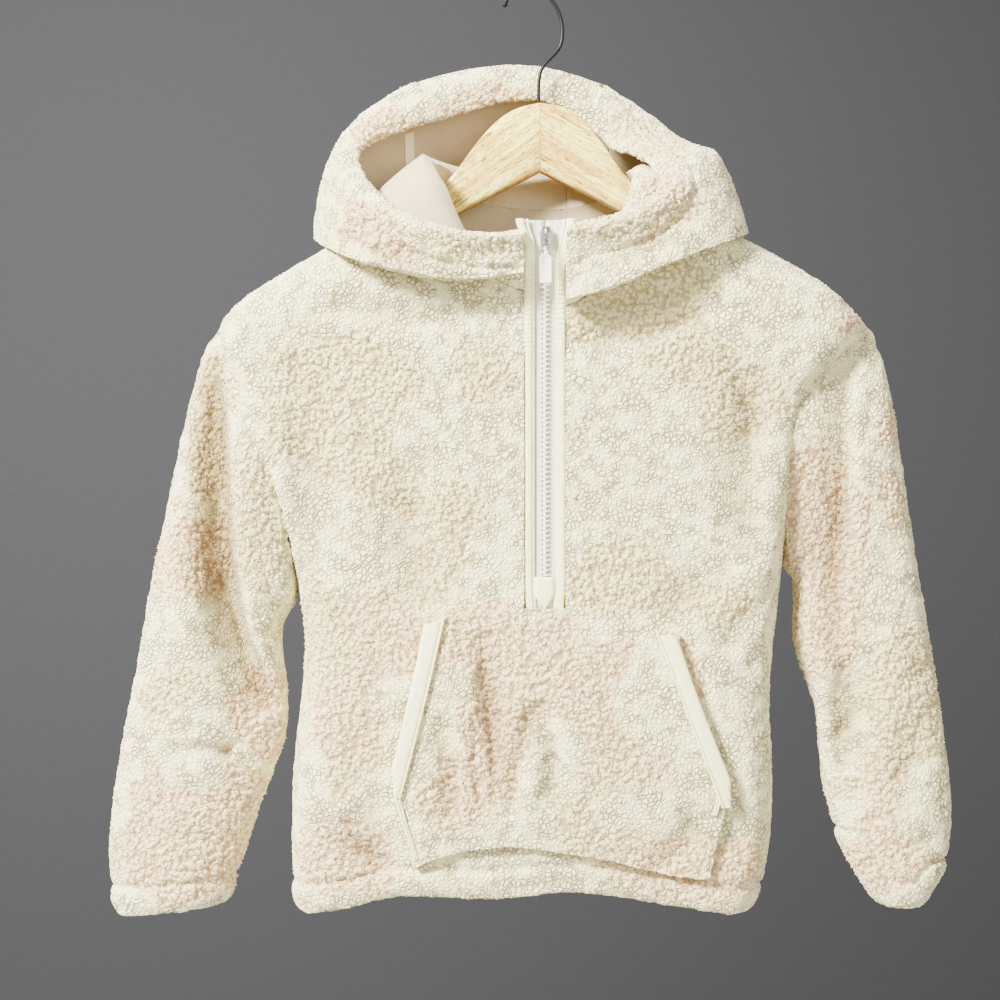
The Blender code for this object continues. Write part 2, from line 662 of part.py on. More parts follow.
def hood_surface(stations, rows, seam):
    """Points from the rim (row 0) to the neck seam (row 8)."""
    table = natural_spline(np.array(HOOD, float), stations)
    rim, crest, low, rise = (table[:, k:k + 3] for k in (0, 3, 6, 9))
    belly = table[:, 12:13]
    fold = table[:, 13:14]
    hem = (rim + crest) / 2 + np.array([0, -HEM_FORWARD, 0])
    side = (crest + low) / 2
    away = low - np.array([ZIP_X, 10, 0])
    away[:, 2] = 0
    away = unit(away)
    side = side + belly * away
    along = np.gradient(low, axis=0)
    facing = unit(np.stack([along[:, 1], -along[:, 0], 0 * along[:, 0]], -1))
    facing = facing * np.sign(np.sum(facing * away, axis=1, keepdims=True))
    turn = low - fold * facing + np.array([0, 0, 0.1]) * fold
    turn[[0, -1], 0] = low[[0, -1], 0]
    roll = seam + rise
    under = (turn + roll) / 2
    under[:, 1] = 0.45 * turn[:, 1] + 0.55 * roll[:, 1]
    rings = np.stack([rim, hem, crest, side, low, turn, under, roll, seam], 0)
    points = natural_spline(rings, rows)
    for j in np.flatnonzero((rows > 4) & (rows < 5)):
        t = rows[j] - 4
        points[j] = low * (1 - t) + turn * t
        points[j, :, 2] -= 0.5 * fold[:, 0] * t * (1 - t)
    points = np.transpose(points, (1, 0, 2))
    return clear_of_body(points, rows)


# how far each row of the hood keeps from the body: outward and upward
HOOD_ROOM = [(2.5, 0, 0), (3, 18, 8), (4, 18, 4), (5, 6, 4), (6, 6, 5),
             (7, 4, 4), (8, 0, 0)]


def clear_of_body(points, rows):
    """Keep the overhang outside the shoulders that it hangs over."""
    x, y, z = points[..., 0], points[..., 1], points[..., 2]
    room_key, room_out, room_up = np.array(HOOD_ROOM, float).T
    outward = np.interp(rows, room_key, room_out)
    upward = np.interp(rows, room_key, room_up)
    high = ROOF_ROUND / 0.86
    above = np.maximum(high - (roof(x) - z), 0)
    deep = np.where(y < 0, front_depth(z), back_depth(z)) + outward
    share = np.sqrt((y / deep) ** 2 + (above / (high + upward)) ** 2)
    held = (rows > 2.5) & (rows < 7.99) & (share < 1)
    grow = np.where(held, 1 / np.maximum(share, 0.3), 1.0)
    return np.stack([x, y * grow, z + above * (grow - 1)], -1)


HOOD_STATIONS = np.array(spread(0, 3, 5) + [3, 3.5] + [4 + 8 * s for s in NECK_STEPS]
                         + [12, 12.5] + spread(13, 16, 5) + [16])
HOOD_ROWS = np.array([0, 0.5, 1, 1.5, 2, 2.5, 3, 3.5, 4, 4.33, 4.67, 5, 5.5, 6, 6.5, 7, 7.5, 8])
LEFT_SEAM = 11        # grid line between the hood's left side and its middle
RIGHT_SEAM = 15       # grid line between its middle and its right side


def build_hood(front, back):
    seam_outer = neck_loop(front, back, 0)
    seam_inner = neck_loop(front, back, 1)
    outer = hood_surface(HOOD_STATIONS, HOOD_ROWS, seam_outer)
    normal = grid_normals(outer)
    if normal[13, 6, 1] < 0:
        normal = -normal
    normal[[0, -1], :, 0] = 0
    normal = unit(normal)
    # beside the zip the fleece is squeezed where it doubles over
    ends = np.clip(np.maximum(2.2 - HOOD_STATIONS, HOOD_STATIONS - 13.4), 0, 1)
    doubled = np.interp(HOOD_ROWS, (3.8, 5, 7, 7.6), (0, 1, 1, 0))
    thick = FLEECE * (1 - SQUEEZE * ends[:, None] * doubled)
    inner = outer - thick[..., None] * normal
    inner[:, -1] = seam_inner
    # the inner face cuts across the turn at the low line
    first = column(HOOD_ROWS, 3.5)
    last = column(HOOD_ROWS, 5.5)
    for j in range(first + 1, last):
        t = (HOOD_ROWS[j] - 3.5) / 2
        straight = inner[:, first] * (1 - t) + inner[:, last] * t
        inner[:, j] = straight + TURN_PUSH * (outer[:, j] - straight)
    free = np.ones(outer.shape[:2])
    free[:, first:last + 1] = 0
    free[:, -1] = 0
    return outer, untangled(outer, inner, free), normal


def add_hood(hood, fleece):
    spans = {"hood_left": (0, LEFT_SEAM), "hood_centre": (LEFT_SEAM, RIGHT_SEAM),
             "hood_right": (RIGHT_SEAM, len(HOOD_STATIONS) - 1)}
    for name, (first, last) in spans.items():
        layers = []
        for layer in hood[:2]:
            part = layer[first:last + 1]
            for side in ("left", "right", "foot"):
                part = pull_in(part, side)
            layers.append(part)
        wall(name, layers[0], layers[1], fleece(name))


def add_hood_tape(hood, material):
    """Narrow tape over the left hood seam, on the smooth inner face."""
    outer, inner, normal = hood
    line = LEFT_SEAM
    rows = slice(5, 8)
    middle = inner[line, rows]
    left = unit(inner[line - 1, rows] - middle)
    right = unit(inner[line + 1, rows] - middle)
    lift = normal[line, rows]
    near = 0.1
    top = np.stack([middle + 3.6 * left, middle, middle + 3.6 * right])
    base = top - (LAY + near) * lift
    face = base - 0.8 * lift
    wall("hood_tape", face, base, material)


# --------------------------------------------------------------------- pocket
def add_pocket(front, fleece, smooth):
    first = column(FRONT_A, 1)
    last = column(FRONT_A, 6)
    outer = front[0][first:last + 1, WAIST:FOOT + 1]
    normal = front[2][first:last + 1, WAIST:FOOT + 1]
    wide = np.arange(last - first + 1) / (last - first)
    tall = np.arange(FOOT - WAIST + 1) / (FOOT - WAIST)
    swell = np.outer(np.sin(np.pi * wide) ** 0.7, np.sin(np.pi * tall) ** 0.7)
    opening = np.outer(np.abs(2 * wide - 1) ** 6, np.clip(3.4 * tall, 0, 1)
                       * np.clip(4 * (0.72 - tall) + 0.4, 0, 1))
    rise = LAY + 2.6 * np.maximum(swell, 0) + 1.6 * opening
    base = outer + rise[..., None] * normal
    face = base + FLEECE * normal
    wall("pocket", face, base, fleece("pocket"), guide=outer)
    for name, span in (("pocket_binding_left", (0, 3)),
                       ("pocket_binding_right", (-3, None))):
        rows = slice(0, 6)
        strip = face[span[0]:span[1], rows]
        up = normal[span[0]:span[1], rows]
        wall(name, strip + (LAY + 1.4) * up, strip + LAY * up, smooth(name),
             guide=outer[span[0]:span[1], rows])
    return face, normal


# ------------------------------------------------------------------------ zip
def zip_strip(name, near_edge, far_edge, low, high, top, foot, material):
    """A strip beside or on the zip, between two offsets from the pile."""
    rows = np.linspace(ZIP_PATH[0][0], ZIP_PATH[-1][0], 26)
    slope = (zip_path(rows + 0.5) - zip_path(rows - 0.5))
    normal = unit(np.stack([0 * rows, -1 + 0 * rows, slope], -1))
    z = np.array([top] + [row for row in rows if foot + 1 < row < top - 1] + [foot])
    layers = []
    for lift in (high, low):
        y_row = zip_path(rows) + lift * normal[:, 1]
        z_row = rows + lift * normal[:, 2]
        y = np.interp(-z, -rows, y_row)
        level = np.interp(-z, -rows, z_row)
        lines = [np.stack([ZIP_X + edge + 0 * z, y, level], -1)
                 for edge in (near_edge, (near_edge + far_edge) / 2, far_edge)]
        layers.append(np.stack(lines))
    return wall(name, layers[0], layers[1], material)


def add_zip(smooth, tape, plastic, metal):
    zip_strip("zip_binding_left", -15.2, -9.4, -3.2, -0.6, -193, -480, smooth("zip_binding_left"))
    zip_strip("zip_binding_right", 9.4, 15.2, -3.2, -0.6, -190, -480, smooth("zip_binding_right"))
    zip_strip("zip_tape_left", -12.5, -0.2, -4.4, -3.6, -191, -479, tape("zip_tape_left"))
    zip_strip("zip_tape_right", 0.2, 12.5, -4.4, -3.6, -191, -479, tape("zip_tape_right"))
    zip_strip("zip_chain", -3.2, 3.2, -3.3, -0.9, -211, -458, plastic("zip_chain"))
    zip_strip("zip_stop", -7.4, 7.4, -3.1, -0.4, -459, -479, smooth("zip_stop"))
    add_pull(metal, tape)


def box_rings(x, z_top, z_foot, y_near, y_far, half, bevel):
    """Rings down a rounded block."""
    rings = []
    for z, inset in ((z_top, bevel), (z_top - bevel, 0), (z_foot + bevel, 0),
                     (z_foot, bevel)):
        w = half - inset
        near = y_near + 0.4 * inset
        far = y_far - 0.4 * inset
        rings.append([(x - w + bevel, near, z), (x + w - bevel, near, z),
                      (x + w, near + bevel / 2, z), (x + w, far - bevel / 2, z),
                      (x + w - bevel, far, z), (x - w + bevel, far, z),
                      (x - w, far - bevel / 2, z), (x - w, near + bevel / 2, z)])
    return rings


def tube(name, path, radius, material, closed=False, sides=8, end_ball=None):
    """Round wire along a path in one plane."""
    path = np.asarray(path, float)
    count = len(path)
    if closed:
        ahead = np.roll(path, -1, 0) - np.roll(path, 1, 0)
    else:
        ahead = np.gradient(path, axis=0)
    ahead = unit(ahead)
    flat = unit(np.cross(ahead[0], ahead[count // 3]))
    rings = []
    for k in range(count):
        side = np.cross(flat, ahead[k])
        size = radius if end_ball is None else radius * end_ball[k]
        rings.append([path[k] + size * (math.cos(t) * side + math.sin(t) * flat)
                      for t in [2 * math.pi * i / sides for i in range(sides)]])
    if not closed:
        return lofted(name, rings, material)
    points = np.concatenate([np.asarray(ring) for ring in rings])
    faces = []
    for k in range(count):
        for i in range(sides):
            p = k * sides + i
            q = k * sides + (i + 1) % sides
            r = ((k + 1) % count) * sides
            faces.append((p, q, r + (i + 1) % sides))
            faces.append((p, r + (i + 1) % sides, r + i))
    return make_object(name, points, faces, material)


def add_pull(metal, tape):
    """Slider with its bail, the link that turns in it and the moulded tab."""
    x, y, z = HINGE
    lofted("zip_slider", box_rings(x, z + 5.5, z - 7.6, y + 2.4, y + 7.2, 4.4, 1.2),
           metal("zip_slider"))
    arch = [(x, y + 2.1, z + 4.2), (x, y + 0.2, z + 4.0), (x, y - 1.6, z + 2.6),
            (x, y - 1.9, z), (x, y - 1.6, z - 2.6), (x, y + 0.2, z - 4.0),
            (x, y + 2.1, z - 4.2)]
    tube("zip_bail", arch, 0.7, metal("zip_bail"), sides=6)
    half = 2.7
    loop = []
    for cx, cz, start in ((half - 1, z - 1.0, 90), (half - 1, z - 14.2, 0),
                          (1 - half, z - 14.2, -90), (1 - half, z - 1.0, -180)):
        for turn in (0, -45, -90):
            angle = math.radians(start + turn)
            loop.append((x + cx + math.cos(angle), y, cz + math.sin(angle)))
    tube("zip_link", loop, 0.65, metal("zip_link"), closed=True, sides=6)
    lofted("zip_tab", box_rings(x, z - 16.1, z - 37.0, y - 1.1, y + 1.1, 4.4, 0.7),
           tape("zip_tab"))


# --------------------------------------------------------------------- hanger
def add_hanger(wood, metal):
    for name, rows in (("hanger_left", ARM_LEFT), ("hanger_right", ARM_RIGHT)):
        rings = []
        for x, high, low, half in rows:
            cut = min(2.4, half * 0.5)
            rings.append([(x, -half, low + cut), (x, -half, high - cut),
                          (x, -half + cut, high), (x, half - cut, high),
                          (x, half, high - cut), (x, half, low + cut),
                          (x, half - cut, low), (x, -half + cut, low)])
        lofted(name, rings, wood(name))
    points = np.array([(x, 0.0, z) for x, z in HOOK])
    path = natural_spline(points, np.linspace(0, len(points) - 1, 34))
    tip = path[-1]
    ahead = unit(path[-1] - path[-2])
    path = np.concatenate([path, [tip + 1.2 * ahead, tip + 2.4 * ahead,
                                  tip + 3.4 * ahead]])
    swell = [1.0] * 34 + [1.55, 1.45, 0.6]
    tube("hanger_hook", path, HOOK_WIRE, metal("hanger_hook"), end_ball=swell)


def build():
    for item in list(bpy.data.objects):
        bpy.data.objects.remove(item, do_unlink=True)

    def fleece(name):
        return colour_material("fleece_" + name, (0.74, 0.67, 0.56), 0.95)

    def smooth(name):
        return colour_material("binding_" + name, (0.80, 0.77, 0.64), 0.7)

    def tape(name):
        return colour_material("tape_" + name, (0.72, 0.69, 0.62), 0.65)

    def plastic(name):
        return colour_material("plastic_" + name, (0.80, 0.77, 0.69), 0.4)

    def metal(name):
        return colour_material("metal_" + name, (0.55, 0.55, 0.56), 0.25, 1.0)

    def wood(name):
        return colour_material("wood_" + name, (0.78, 0.60, 0.34), 0.45)

    front, back = build_body()
    add_body(front, back, fleece)
    add_sleeve("sleeve_left", SLEEVE_LEFT, front, back, 0, fleece("sleeve_left"))
    add_sleeve("sleeve_right", SLEEVE_RIGHT, front, back, -1, fleece("sleeve_right"))
    hood = build_hood(front, back)
    add_hood(hood, fleece)
    add_hood_tape(hood, tape("hood_tape"))
    add_pocket(front, fleece, smooth)
    add_zip(smooth, tape, plastic, metal)
    add_hanger(wood, metal)


build()
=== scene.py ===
"""Looks of the hooded sherpa pullover on its hanger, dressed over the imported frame.

Every fleece piece is a finer wall worked out from its own CAD solid: the solid is
smoothed, its pile side is split, creases and long folds are pressed in, the hems are
rolled and the pile is raised, with loose curls standing on it. Trims follow lines that
are read off the CAD solids. Lengths in the tables are millimetres.
"""
import math
from contextlib import contextmanager

import bmesh
import bpy
import numpy as np
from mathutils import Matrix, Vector
from mathutils.bvhtree import BVHTree
from mathutils.kdtree import KDTree


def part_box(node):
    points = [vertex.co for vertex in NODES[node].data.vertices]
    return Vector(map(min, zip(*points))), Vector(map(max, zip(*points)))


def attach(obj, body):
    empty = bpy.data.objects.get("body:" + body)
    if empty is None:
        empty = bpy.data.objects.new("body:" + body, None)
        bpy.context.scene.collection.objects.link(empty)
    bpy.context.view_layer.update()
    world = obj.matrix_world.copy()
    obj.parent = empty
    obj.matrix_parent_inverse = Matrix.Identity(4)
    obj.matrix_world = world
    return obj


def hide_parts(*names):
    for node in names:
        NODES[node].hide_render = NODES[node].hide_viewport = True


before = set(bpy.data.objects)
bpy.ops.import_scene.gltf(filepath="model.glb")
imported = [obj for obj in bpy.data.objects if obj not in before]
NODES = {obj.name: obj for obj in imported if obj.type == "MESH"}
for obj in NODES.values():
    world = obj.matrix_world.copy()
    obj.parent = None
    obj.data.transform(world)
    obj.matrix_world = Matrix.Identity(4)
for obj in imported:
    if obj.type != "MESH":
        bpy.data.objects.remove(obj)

for spare in ("Cube", "Light", "Camera"):
    if spare in bpy.data.objects:
        bpy.data.objects.remove(bpy.data.objects[spare], do_unlink=True)
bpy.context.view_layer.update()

MM = 0.001
WELD = 2e-6
SHARP = math.radians(55)      # a wall's rim meets its faces at more than this
WALL = 9 * MM                 # the two faces of one wall are nearer than this
RIM_WIDTH = 7.5 * MM          # a patch narrower than this may be a wall's rim
PILE_GRID = 2.7 * MM          # longest edge on the pile side
PILE, SMOOTH, SEAM_RIM, HEM_RIM, TURNED = range(5)   # sides of a wall, as material numbers
CURL_SPACING = 3.9            # between the loose curls, in mm
HOOD_HEM = 25.0               # width of the turned hem round the hood's mouth
LOW_HEM = 20.0                # width of the turned hems at the cuffs and the bottom
FAR = 1000.0                  # from the nearest hem or fold
X_AXIS = np.array([1.0, 0.0, 0.0])
HOOD_MIDDLE = Vector((0.009, 0.012, -0.15))
# x and z at the top and the bottom of the line down the middle of the right sleeve
SLEEVE_TOP = (0.215, -0.38)
SLEEVE_FOOT = (0.28, -0.718)
BACK_TURN = (20, -872)        # x and z on the front and the back of one print add up to these

# edge of the hood's mouth, from the left of the zip round to its right
HOOD_MOUTH = [(-7, -60, -199), (-47, -61, -201), (-83, -62, -191), (-116, -50, -168),
              (-133, -20, -138), (-124, -4, -119), (-79, 6, -103), (-37, 11, -90),
              (5, 12, -82), (38, 11, -99), (66, 4, -131), (80, -20, -130),
              (94, -55, -162), (81, -61, -178), (61, -62, -187), (43, -62, -191),
              (24, -60, -194)]
HEM_SPARE = 6.0               # split finely this far past the turned width
HEM_SWELL = 1.3
HEM_SWELL_INSIDE = 1.8        # the turned side swells by this much more
GROOVE_DEPTH = 2.4            # of the hem's line of stitches
GROOVE_REACH = 2.2
LOWEST_HEMS = -0.66           # the hems at the cuffs and the bottom lie below this z
MOUTH_REACH = 12 * MM         # from the line of the hood's mouth to its rim
MOUTH_MIDDLE = Vector((-15, -25, -145)) * MM

# ---- colours
CREAM = (0.86, 0.83, 0.49)
CREAM_SHADE = (0.82, 0.78, 0.44)
# painted shade: the gap colours are darker copies of the pile colours for the shaded cracks and holes
# between its curls
CREAM_GAP_SHADE = (0.34, 0.28, 0.15)
TAN = (0.73, 0.63, 0.33)
TAN_GAP_SHADE = (0.43, 0.34, 0.16)
PINK = (0.77, 0.60, 0.34)
PINK_GAP_SHADE = (0.47, 0.32, 0.16)
# the fleece back's own pinkish beige, made darker as painted shade for the shaded inside of the hood
LINING_AND_SHADE = (0.48, 0.39, 0.25)
BINDING = (0.98, 0.98, 0.55)
WHITE = (1.0, 1.0, 1.0)
VALLEY = (0.50, 0.43, 0.34)   # what is left of the light in the deepest folds
WOOD_PALE = (0.97, 0.86, 0.22)
WOOD_FIGURE = (0.60, 0.36, 0.06)
WOOD_CLOUD = (0.98, 0.92, 0.32)
WOOD_PORE = (0.07, 0.028, 0.008)
# painted shade on the wood where its surface turns edge-on to the front
WOOD_EDGE_SHADE = (0.34, 0.12, 0.02)

# soft camouflage, painted one oval after another; a cream one clears what it covers
# x, z, half width, half height, tilt in degrees, colour
BODY_PRINT = [
    (-156, -324, 53, 47, 5, TAN), (-116, -299, 38, 21, 15, TAN),
    (-141, -360, 44, 29, 25, TAN), (-106, -395, 39, 13, 8, TAN),
    (-59, -405, 27, 21, 0, TAN), (-70, -446, 20, 39, 14, TAN),
    (-98, -371, 11, 8, 0, TAN), (-37, -306, 26, 28, 0, TAN),
    (88, -242, 59, 30, 0, TAN), (118, -287, 47, 27, 25, TAN),
    (155, -326, 35, 32, 0, TAN), (52, -266, 30, 14, 0, TAN),
    (187, -254, 59, 36, 10, CREAM), (241, -261, 12, 14, 0, PINK),
    (71, -459, 47, 30, 10, TAN), (134, -473, 44, 17, 8, TAN),
    (37, -343, 11, 6, 0, TAN), (31, -392, 7, 5, 0, TAN),
    (-40, -504, 47, 26, 0, PINK), (20, -528, 64, 44, 0, PINK),
    (-23, -583, 33, 47, 0, PINK), (44, -568, 23, 53, 0, PINK),
    (69, -598, 30, 23, -10, PINK), (52, -497, 24, 11, 8, CREAM),
    (97, -546, 35, 42, 10, CREAM), (20, -578, 19, 21, 0, CREAM),
    (8, -613, 23, 35, 20, CREAM), (118, -528, 8, 36, -18, PINK),
    (157, -572, 24, 56, 0, CREAM), (-111, -504, 36, 39, 0, PINK),
    (-158, -508, 24, 47, 0, TAN), (-136, -566, 29, 38, 0, PINK),
    (-103, -542, 13, 15, 0, CREAM), (-70, -572, 14, 23, 0, CREAM),
    (-56, -618, 35, 30, 0, PINK), (-170, -618, 13, 39, 0, CREAM),
    (-148, -612, 15, 14, 0, TAN), (-127, -624, 11, 20, 0, CREAM),
    (-141, -671, 42, 30, 0, PINK), (-81, -653, 17, 17, 0, CREAM),
    (44, -641, 32, 26, 30, TAN), (114, -674, 65, 27, 0, PINK),
    (-6, -678, 50, 17, 0, CREAM), (88, -636, 45, 14, 8, CREAM),
]
HOOD_PRINT = [
    (-114, -202, 32, 20, 32, PINK), (-48, -216, 33, 11, 5, TAN),
    (105, -174, 27, 23, -30, PINK), (80, -202, 20, 15, 0, PINK),
    (-32, -89, 38, 15, -5, PINK), (-115, -113, 27, 17, -35, PINK),
    (86, -122, 33, 20, 42, TAN), (142, -166, 20, 15, 0, CREAM),
    (43, -98, 23, 11, 20, CREAM), (-60, -150, 40, 30, 0, TAN),
    (60, -190, 34, 22, 0, TAN),
]
SLEEVE_PRINT = [
    (-247, -346, 15, 64, 5, TAN), (-256, -445, 42, 31, 0, PINK),
    (-213, -414, 30, 60, 0, TAN), (-274, -545, 30, 17, -12, TAN),
    (-207, -562, 22, 40, 0, PINK), (-262, -650, 66, 60, 0, PINK),
    (-262, -606, 25, 18, 0, CREAM), (-219, -490, 17, 30, 0, CREAM),
    (-318, -640, 10, 34, 0, CREAM), (222, -444, 34, 96, 0, PINK),
    (272, -342, 10, 20, 0, PINK), (274, -403, 13, 22, 0, PINK),
    (283, -554, 40, 58, 10, TAN), (262, -606, 36, 52, 12, TAN),
    (240, -566, 19, 38, 0, CREAM), (268, -654, 38, 52, 0, PINK),
    (299, -632, 23, 33, 0, CREAM), (245, -640, 11, 19, -14, CREAM),
]

# creases pressed in: x and z of both ends, half width, depth (negative stands out)
FRONT_CREASES = [
    (-4, -560, -18, -632, 6, 5.0), (9, -566, -6, -640, 9, -3.4),
    (-45, -566, -40, -634, 5, 3.4), (-30, -580, -27, -640, 8, -1.8),
    (-54, -494, -52, -524, 5, 1.6), (46, -520, 54, -560, 6, 1.4),
    (-140, -643, -116, -676, 4.5, 4.2), (-143, -628, -126, -622, 8, -2.4),
    (-154, -655, -146, -672, 7, -2.0), (-178, -300, -150, -334, 9, 2.6),
    (150, -296, 174, -356, 9, 3.2), (-16, -258, -78, -256, 5, 2.6),
    (-20, -272, -60, -284, 7, 1.8), (40, -258, 92, -240, 6, 3.0),
    (30, -286, 66, -276, 8, 1.6), (-176, -466, -136, -500, 8, 3.2),
    (-182, -480, -150, -540, 8, 2.2), (146, -510, 180, -466, 8, 3.0),
    (160, -530, 182, -500, 7, 2.0), (-120, -520, -96, -560, 8, 1.6),
    (60, -540, 72, -600, 10, 1.8), (112, -640, 150, -664, 7, 2.6),
    (-28, -690, 40, -686, 5, 1.8), (-130, -420, -60, -440, 14, 1.2),
]
BACK_CREASES = [
    (-140, -290, -90, -334, 10, 3.4), (118, -280, 164, -334, 9, 3.6),
    (-60, -262, 50, -268, 12, 2.6), (-156, -466, -96, -506, 9, 3.0),
    (96, -484, 164, -446, 10, 3.2), (-44, -556, -20, -644, 9, 2.8),
    (58, -596, 92, -664, 10, 3.0), (-134, -650, -88, -684, 8, 2.4),
    (-10, -400, 30, -470, 12, 1.6), (-90, -380, -60, -430, 10, -1.4),
]
SLEEVE_CREASES = [
    (-272, -588, -234, -592, 5, 4.0), (-262, -606, -238, -604, 6, -1.8),
    (-244, -604, -224, -584, 5, 3.2), (-238, -462, -212, -546, 5, 4.2),
    (-228, -400, -222, -470, 5, 2.4), (-302, -556, -280, -572, 6, 2.2),
    (-318, -636, -288, -652, 7, 2.2), (-252, -300, -244, -344, 6, 2.6),
    (-292, -470, -272, -500, 8, 1.8), (-262, -652, -238, -664, 6, 1.8),
    (252, -556, 234, -588, 6, 3.6), (304, -596, 270, -612, 6, 2.6),
    (314, -516, 286, -540, 7, 2.2), (262, -296, 254, -354, 6, 3.0),
    (308, -656, 280, -668, 7, 2.2), (236, -396, 246, -456, 6, 2.6),
    (226, -500, 240, -536, 7, 2.2), (280, -420, 268, -462, 8, 1.6),
]
HOOD_CREASES = [
    (-150, -214, -118, -190, 7, 2.0), (-128, -176, -96, -208, 6, 1.8),
    (-60, -222, -24, -216, 5, 2.0), (118, -128, 146, -164, 8, 2.4),
    (96, -196, 128, -188, 7, 2.0), (34, -214, 66, -210, 6, 1.8),
]

# long folds: places (x, z) along the valley from its top, how far it reaches to the
# left and to the right, and its depth (negative stands out as a ridge)
FRONT_FOLDS = [
    ([(-40, -498), (-35, -545), (-30, -585), (-28, -630)], 7, 13, 10.0),
    ([(4, -548), (13, -590), (18, -632)], 12, 7, 8.0),
    ([(-72, -560), (-60, -600), (-62, -640)], 10, 8, 6.0),
    ([(-88, -360), (-96, -425), (-88, -486)], 22, 16, 6.0),
    ([(-178, -330), (-172, -400), (-176, -470)], 12, 20, 6.0),
    ([(172, -300), (160, -370), (166, -450)], 20, 10, 7.0),
    ([(-168, -640), (-140, -664), (-100, -676)], 8, 11, 5.5),
    ([(128, -628), (112, -660), (84, -680)], 11, 8, 4.5),
    ([(96, -500), (110, -470), (150, -452)], 12, 12, 4.0),
    ([(-150, -252), (-96, -262), (-44, -268)], 8, 12, 5.0),
    ([(40, -292), (96, -270), (150, -250)], 8, 12, 5.0),
]
BACK_FOLDS = [
    ([(-110, -300), (-84, -380), (-96, -470), (-80, -560)], 26, 18, 5.0),
    ([(104, -290), (88, -400), (104, -500)], 18, 26, 4.5),
    ([(-20, -520), (-8, -590), (-24, -660)], 14, 20, 4.0),
    ([(-150, -560), (-120, -610), (-126, -660)], 12, 16, 3.6),
    ([(60, -540), (76, -600), (70, -670)], 16, 12, 3.6),
]
SLEEVE_FOLDS = [
    ([(-241, -290), (-238, -360), (-234, -445), (-222, -505), (-196, -562)], 24, 6, 19.0),
    ([(-216, -330), (-214, -380), (-220, -440)], 12, 14, -3.5),
    ([(-226, -540), (-232, -590), (-228, -640)], 12, 20, 4.0),
    ([(-300, -600), (-280, -620), (-250, -626)], 10, 10, 2.6),
    ([(240, -280), (236, -370), (232, -462), (232, -520)], 16, 8, 9.0),
    ([(257, -262), (258, -370), (254, -462), (250, -540)], 12, 12, -4.0),
    ([(206, -350), (202, -405), (208, -462)], 10, 15, 5.0),
    ([(243, -510), (236, -560), (242, -612)], 10, 18, 8.0),
    ([(300, -560), (284, -600), (276, -650)], 16, 10, 3.0),
]
HOOD_FOLDS = [
    ([(-112, -212), (-76, -230), (-36, -238)], 7, 8, 4.5),
    ([(36, -232), (70, -222), (112, -200)], 7, 8, 4.0),
    ([(-146, -196), (-120, -214), (-96, -222)], 7, 7, 3.5),
]


# ---- the painted pattern
def wander(x, z):
    """A slow drift of a place, so that no oval keeps a clean outline."""
    dx = 4.5 * np.sin(z / 15 + 1.3) + 2.6 * np.sin((z + x) / 7.1) + 1.5 * np.sin(z / 3.7)
    dz = 4.0 * np.sin(x / 17 + 0.4) + 2.4 * np.sin((x - z) / 8.3) + 1.4 * np.sin(x / 4.1)
    return x + dx, z + dz


def paint(rows, x, z):
    """How deep each place lies inside a coloured patch, and how pink it is."""
    x, z = wander(x, z)
    depth = np.full(x.shape, -30.0)
    pink = np.zeros(x.shape)
    for cx, cz, wide, tall, tilt, colour in rows:
        turn = math.radians(tilt)
        u = (x - cx) * math.cos(turn) - (z - cz) * math.sin(turn)
        v = (x - cx) * math.sin(turn) + (z - cz) * math.cos(turn)
        inside = (1 - np.hypot(u / wide, v / tall)) * min(wide, tall)
        if colour is CREAM:
            depth = np.minimum(depth, -inside)
        else:
            depth = np.maximum(depth, inside)
            share = np.clip(inside / 5 + 0.5, 0, 1)
            pink = pink * (1 - share) + share * (colour is PINK)
    return depth, pink


def creases(rows, x, z):
    """How deep short creases press in at each place, a little less at their ends."""
    total = np.zeros(x.shape)
    for ax, az, bx, bz, width, depth in rows:
        length2 = (bx - ax) ** 2 + (bz - az) ** 2
        t = np.clip(((x - ax) * (bx - ax) + (z - az) * (bz - az)) / length2, 0, 1)
        away = np.hypot(x - ax - t * (bx - ax), z - az - t * (bz - az))
        total = total + depth * np.exp(-(away / width) ** 2) * (0.55 + 0.45 * np.sin(math.pi * t))
    return total


def folds(rows, x, z):
    """How deep long folds press in. Each side of a fold's line slopes with its own reach,
    and both ends fade out."""
    total = np.zeros(x.shape)
    for corners, left, right, depth in rows:
        nearest = np.full(x.shape, FAR)
        press = np.zeros(x.shape)
        for k, ((ax, az), (bx, bz)) in enumerate(zip(corners, corners[1:])):
            dx, dz = bx - ax, bz - az
            t = np.clip(((x - ax) * dx + (z - az) * dz) / (dx * dx + dz * dz), 0, 1)
            away = np.hypot(x - ax - t * dx, z - az - t * dz)
            reach = np.where((x - ax) * dz > (z - az) * dx, left, right)
            fade = np.sqrt(np.abs(np.sin(math.pi * (k + t) / (len(corners) - 1))))
            press = np.where(away < nearest, depth * fade * np.exp(-(away / reach) ** 2), press)
            nearest = np.minimum(nearest, away)
        total += press
    return total


def pressed_in(front_rows, back_rows, x, y, z):
    """Creases and folds pressed in from the front where y < 0, and from behind elsewhere."""
    turn = np.clip(np.abs(y) / 10, 0, 1)
    before = creases(front_rows[0], x, z) + folds(front_rows[1], x, z)
    behind = creases(back_rows[0], x, z) + folds(back_rows[1], x, z)
    return turn * np.where(y < 0, before, -behind)


# ---- small helpers
def placed(name, data):
    """A new object in the scene."""
    item = bpy.data.objects.new(name, data)
    bpy.context.scene.collection.objects.link(item)
    return item


@contextmanager
def opened(mesh):
    """The mesh as a bmesh that is written back at the end."""
    bm = bmesh.new()
    bm.from_mesh(mesh)
    yield bm
    bm.to_mesh(mesh)
    bm.free()


